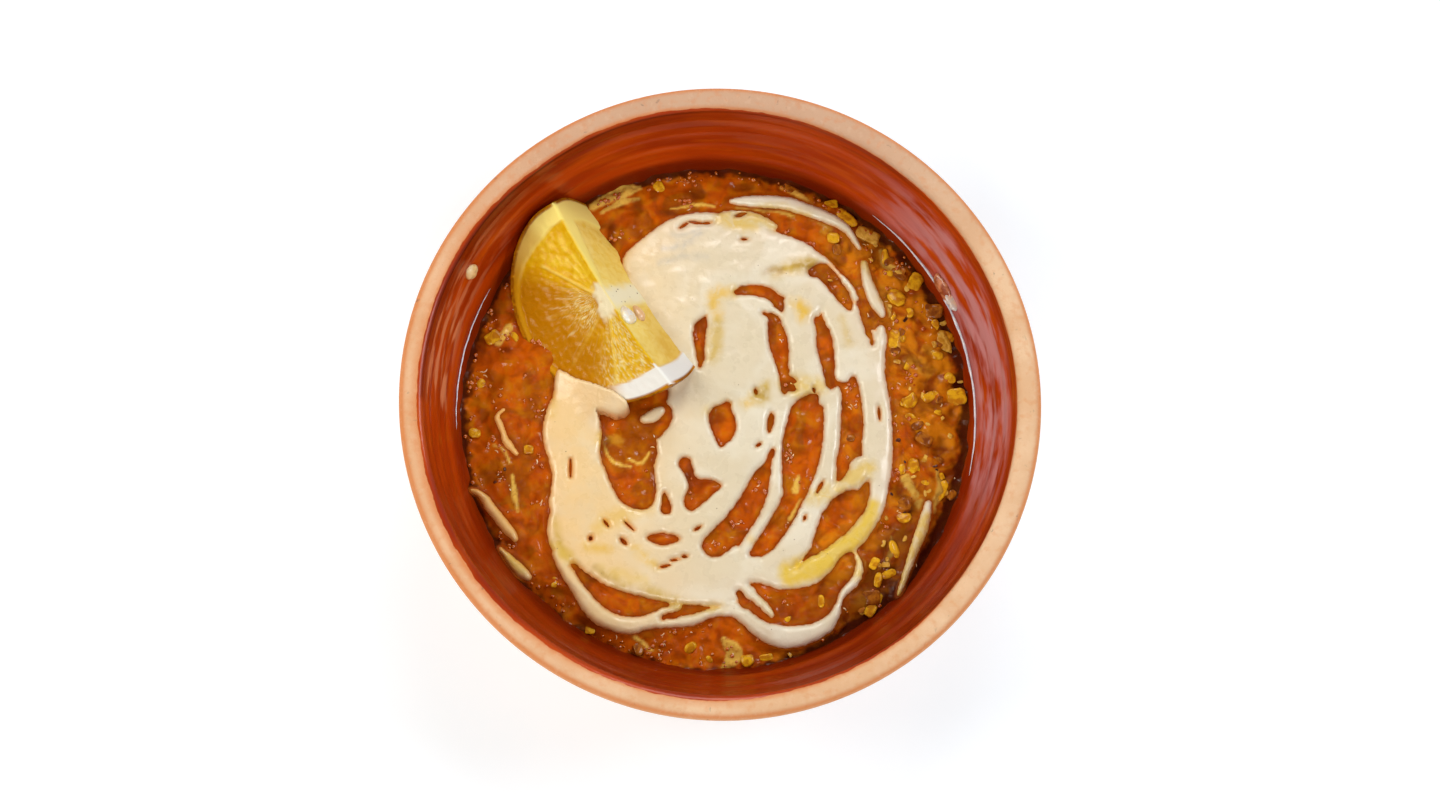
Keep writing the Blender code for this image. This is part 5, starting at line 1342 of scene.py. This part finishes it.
# thin pale strands along the oil's edge at the wall: painted highlight
def makeOilEdges():
    lit = shineFinish("painted highlight on the oil edge")
    around = np.linspace(0, math.tau, 9)[:-1]
    steps = shine["edgeSteps"]
    share = np.linspace(0, 1, steps)
    for name, (start, end, width) in shine["edges"].items():
        turn = np.radians(np.linspace(start, end, steps))
        half = width / 2 * np.sin(math.pi * np.clip(share, 0.004, 0.996)) ** 0.5
        half = half * (1 + 0.3 * ripple(share * 60, share, 3, 130))
        middle = float(innerRadius(shine["edgeHeight"])) - 0.45
        middle = middle + 0.12 * ripple(share * 60, 0 * share, 5, 131)
        r = middle[:, None] + half[:, None] * np.cos(around)
        z = shine["edgeHeight"] + 0.6 * half[:, None] * np.sin(around)
        points = np.stack([r * np.cos(turn)[:, None], r * np.sin(turn)[:, None], z], -1).reshape(-1, 3)
        last = len(points) - len(around)
        caps = [list(range(len(around)))[::-1], list(range(last, len(points)))]
        addPiece(name, points, ringFaces(steps, len(around)) + caps, lit, ["dal"], {})


# Droplets of oil in clusters, and pale flecks that are drawn out: painted glints
def makeDroplets():
    rng = np.random.default_rng(17)
    u, v, pattern = ball(7, 10)
    clusters = waves(6, 132)
    drops, flecks = Gathered(), Gathered()
    while len(drops.points) < shine["droplets"]:
        x, y = rng.uniform(-74, 74, 2)
        size = rng.uniform(*shine["dropletSize"])
        crowd = readGrid(clusters, x, y) + 0.4 * (math.hypot(x, y) > 70 and x < 40) - 0.5 * (x > 62)
        onDal = math.hypot(x, y) <= shine["dropletReach"] and readGrid(allCream, x, y) <= -0.5
        if not onDal or crowd < rng.uniform(0.1, 0.7):
            continue
        z = float(readGrid(dalTop, x, y)) + 0.1 * size
        drops.add(x + size * np.sin(u) * np.cos(v), y + size * np.sin(u) * np.sin(v),
                  z + 0.7 * size * np.cos(u), pattern)
    while len(flecks.points) < shine["flecks"]:
        x, y = rng.uniform(-74, 74, 2)
        long, wide = rng.uniform(*shine["fleckLength"]), rng.uniform(*shine["fleckWidth"])
        turn = rng.uniform(0, math.pi)
        onDal = math.hypot(x, y) <= shine["fleckReach"] and readGrid(allCream, x, y) <= -0.8
        if not onDal or readGrid(clusters, x, y) < rng.uniform(0.2, 0.9):
            continue
        px, py = long * np.cos(u), wide * np.sin(u) * np.cos(v) + 0.35 * np.cos(u) ** 2 * long
        gx, gy = turned(x, y, px, py, turn)
        flecks.add(gx, gy, readGrid(dalTop, gx, gy) + 0.05 + 0.12 * np.sin(u) * np.sin(v), pattern)
    drops.finishPiece("oil_droplets", shineFinish("oil droplets"), "lentil dal", ["dal"])
    flecks.finishPiece("glint_flecks", shineFinish("glint"), "lentil dal", ["dal"])


def makeStuckBits():
    u, v, pattern = ball(17, 28)
    for k, (name, (bearing, height, long, wide, thick, look)) in enumerate(shine["stuck"].items()):
        px, py = long / 2 * np.cos(u), wide / 2 * np.sin(u) * np.cos(v)
        ragged = 1 + 0.22 * ripple(px + 20 * k, py, 2.0, 133)
        px, py = px * ragged, py * ragged
        pz = thick / 2 * np.sin(u) * np.sin(v) * (1 + 0.3 * ripple(px, py, 1.3, 134))
        turn, up = math.radians(bearing), height + py * 0.85
        r = innerRadius(up) - thick * 0.2 - pz
        gx = r * math.cos(turn) - px * math.sin(turn)
        gy = r * math.sin(turn) + px * math.cos(turn)
        pull = r / np.hypot(gx, gy)
        bit = Gathered()
        bit.add(gx * pull, gy * pull, up, pattern)
        slot, node = ("cream", "cream_swirl") if "cream" in name else ("lentil dal", "dal")
        bit.finishPiece(name, shineFinish(look), slot, [node])


makeOilEdges()
makeDroplets()
makeStuckBits()
print("shine laid on")

# Floor, light and camera; the floor grows brighter with distance, so that it ends in the light behind it
lighting = {
    "floor": (tone(206, 212, 220), tone(212, 217, 224)), "floorGlow": (0.418, 0.431, 0.44, 1),
    "farGlow": (0.7, 0.71, 0.73, 1), "farFloor": (350, 1600), "floorReach": 5000,
    "horizon": (0.8, 0.81, 0.83, 1), "overhead": (0.08, 0.08, 0.08, 1), "fromHorizon": (0.1, 0.55),
    "lamps": {      # place, size and power; the colour is red, green, blue
        "window": ((-0.62, 0.05, 0.62), 0.42, 3.0, (1.0, 0.92, 0.80)),
        "back": ((0.05, 0.6, 0.64), 0.4, 2.4, (1.0, 0.97, 0.93)),
        "front": ((-0.1, -0.58, 0.66), 0.4, 2.6, (1.0, 0.96, 0.9)),
        "cool side": ((0.6, 0.12, 0.6), 0.34, 2.6, (0.88, 0.94, 1.0)),
    },
}


def makeFloor():
    s = lighting
    x = np.linspace(-s["floorReach"], s["floorReach"], 33)
    gx, gy = np.meshgrid(x, x, indexing="ij")
    number = np.arange(gx.size).reshape(gx.shape)
    faces = np.stack([number[:-1, :-1], number[1:, :-1], number[1:, 1:], number[:-1, 1:]], -1).reshape(-1, 4)
    points = np.stack([gx, gy, np.full(gx.shape, -0.2)], -1).reshape(-1, 3)
    f = Finish("pale floor", Roughness=0.8, Emission_Strength=1.0)
    f.set(Base_Color=f.mix(f.noise(40, 2), *s["floor"]),
          Emission_Color=f.mix(f.mask("far"), s["floorGlow"], s["farGlow"]))
    far = ease(np.hypot(gx, gy), *s["farFloor"]).reshape(-1)
    floor = addMesh("floor", points, faces.tolist(), f, {"far": far})


def makeLight():
    scene = bpy.context.scene
    world = bpy.data.worlds.new("studio")
    scene.world = world
    world.use_nodes = True
    back = world.node_tree.nodes["Background"]
    back.inputs["Strength"].default_value = 1.0
    sky = Nodes(world.node_tree)
    split = sky.node("ShaderNodeSeparateXYZ", None, {0: sky.node("ShaderNodeTexCoord", out="Generated")}, "Z")
    shade = sky.mix(sky.fade(split, *lighting["fromHorizon"]), lighting["horizon"], lighting["overhead"])
    sky.tree.links.new(shade.socket, back.inputs["Color"])
    for name, (spot, size, power, colour) in lighting["lamps"].items():
        lamp = bpy.data.lights.new(name, "AREA")
        lamp.shape, lamp.size, lamp.energy, lamp.color = "DISK", size, power, colour
        holder = bpy.data.objects.new(name, lamp)
        holder.location = spot
        holder.rotation_euler = (Vector((0, 0, 0.03)) - Vector(spot)).to_track_quat("-Z", "Y").to_euler()
        scene.collection.objects.link(holder)
    scene.view_settings.view_transform = "Standard"


cameraView = {
    "place": (-33.6, -108.2, 606.6), "pitch": 8.2, "yaw": 1.43, "lens": 50, "sensor": 36, "shiftX": 0.0485,
    "shiftY": 0.0663, "nearest": 0.01, "farthest": 20,
}


def makeCamera():
    v = cameraView
    pitch, yaw = math.radians(v["pitch"]), math.radians(v["yaw"])
    ahead = Vector((math.sin(yaw) * math.cos(pitch), math.sin(pitch), -math.cos(pitch) * math.cos(yaw)))
    ahead.normalize()
    right = ahead.cross(Vector((0, 1, 0))).normalized()
    up = right.cross(ahead)
    camera = bpy.data.cameras.new("camera")
    camera.lens, camera.sensor_width = v["lens"], v["sensor"]
    camera.shift_x, camera.shift_y = v["shiftX"], v["shiftY"]
    camera.clip_start, camera.clip_end = v["nearest"], v["farthest"]
    holder = bpy.data.objects.new("camera", camera)
    matrix = Matrix((right, up, -ahead)).transposed().to_4x4()
    matrix.translation = Vector(v["place"]) * mm
    holder.matrix_world = matrix
    bpy.context.scene.collection.objects.link(holder)
    bpy.context.scene.camera = holder


makeFloor()
makeLight()
makeCamera()
print("floor, light and camera set")
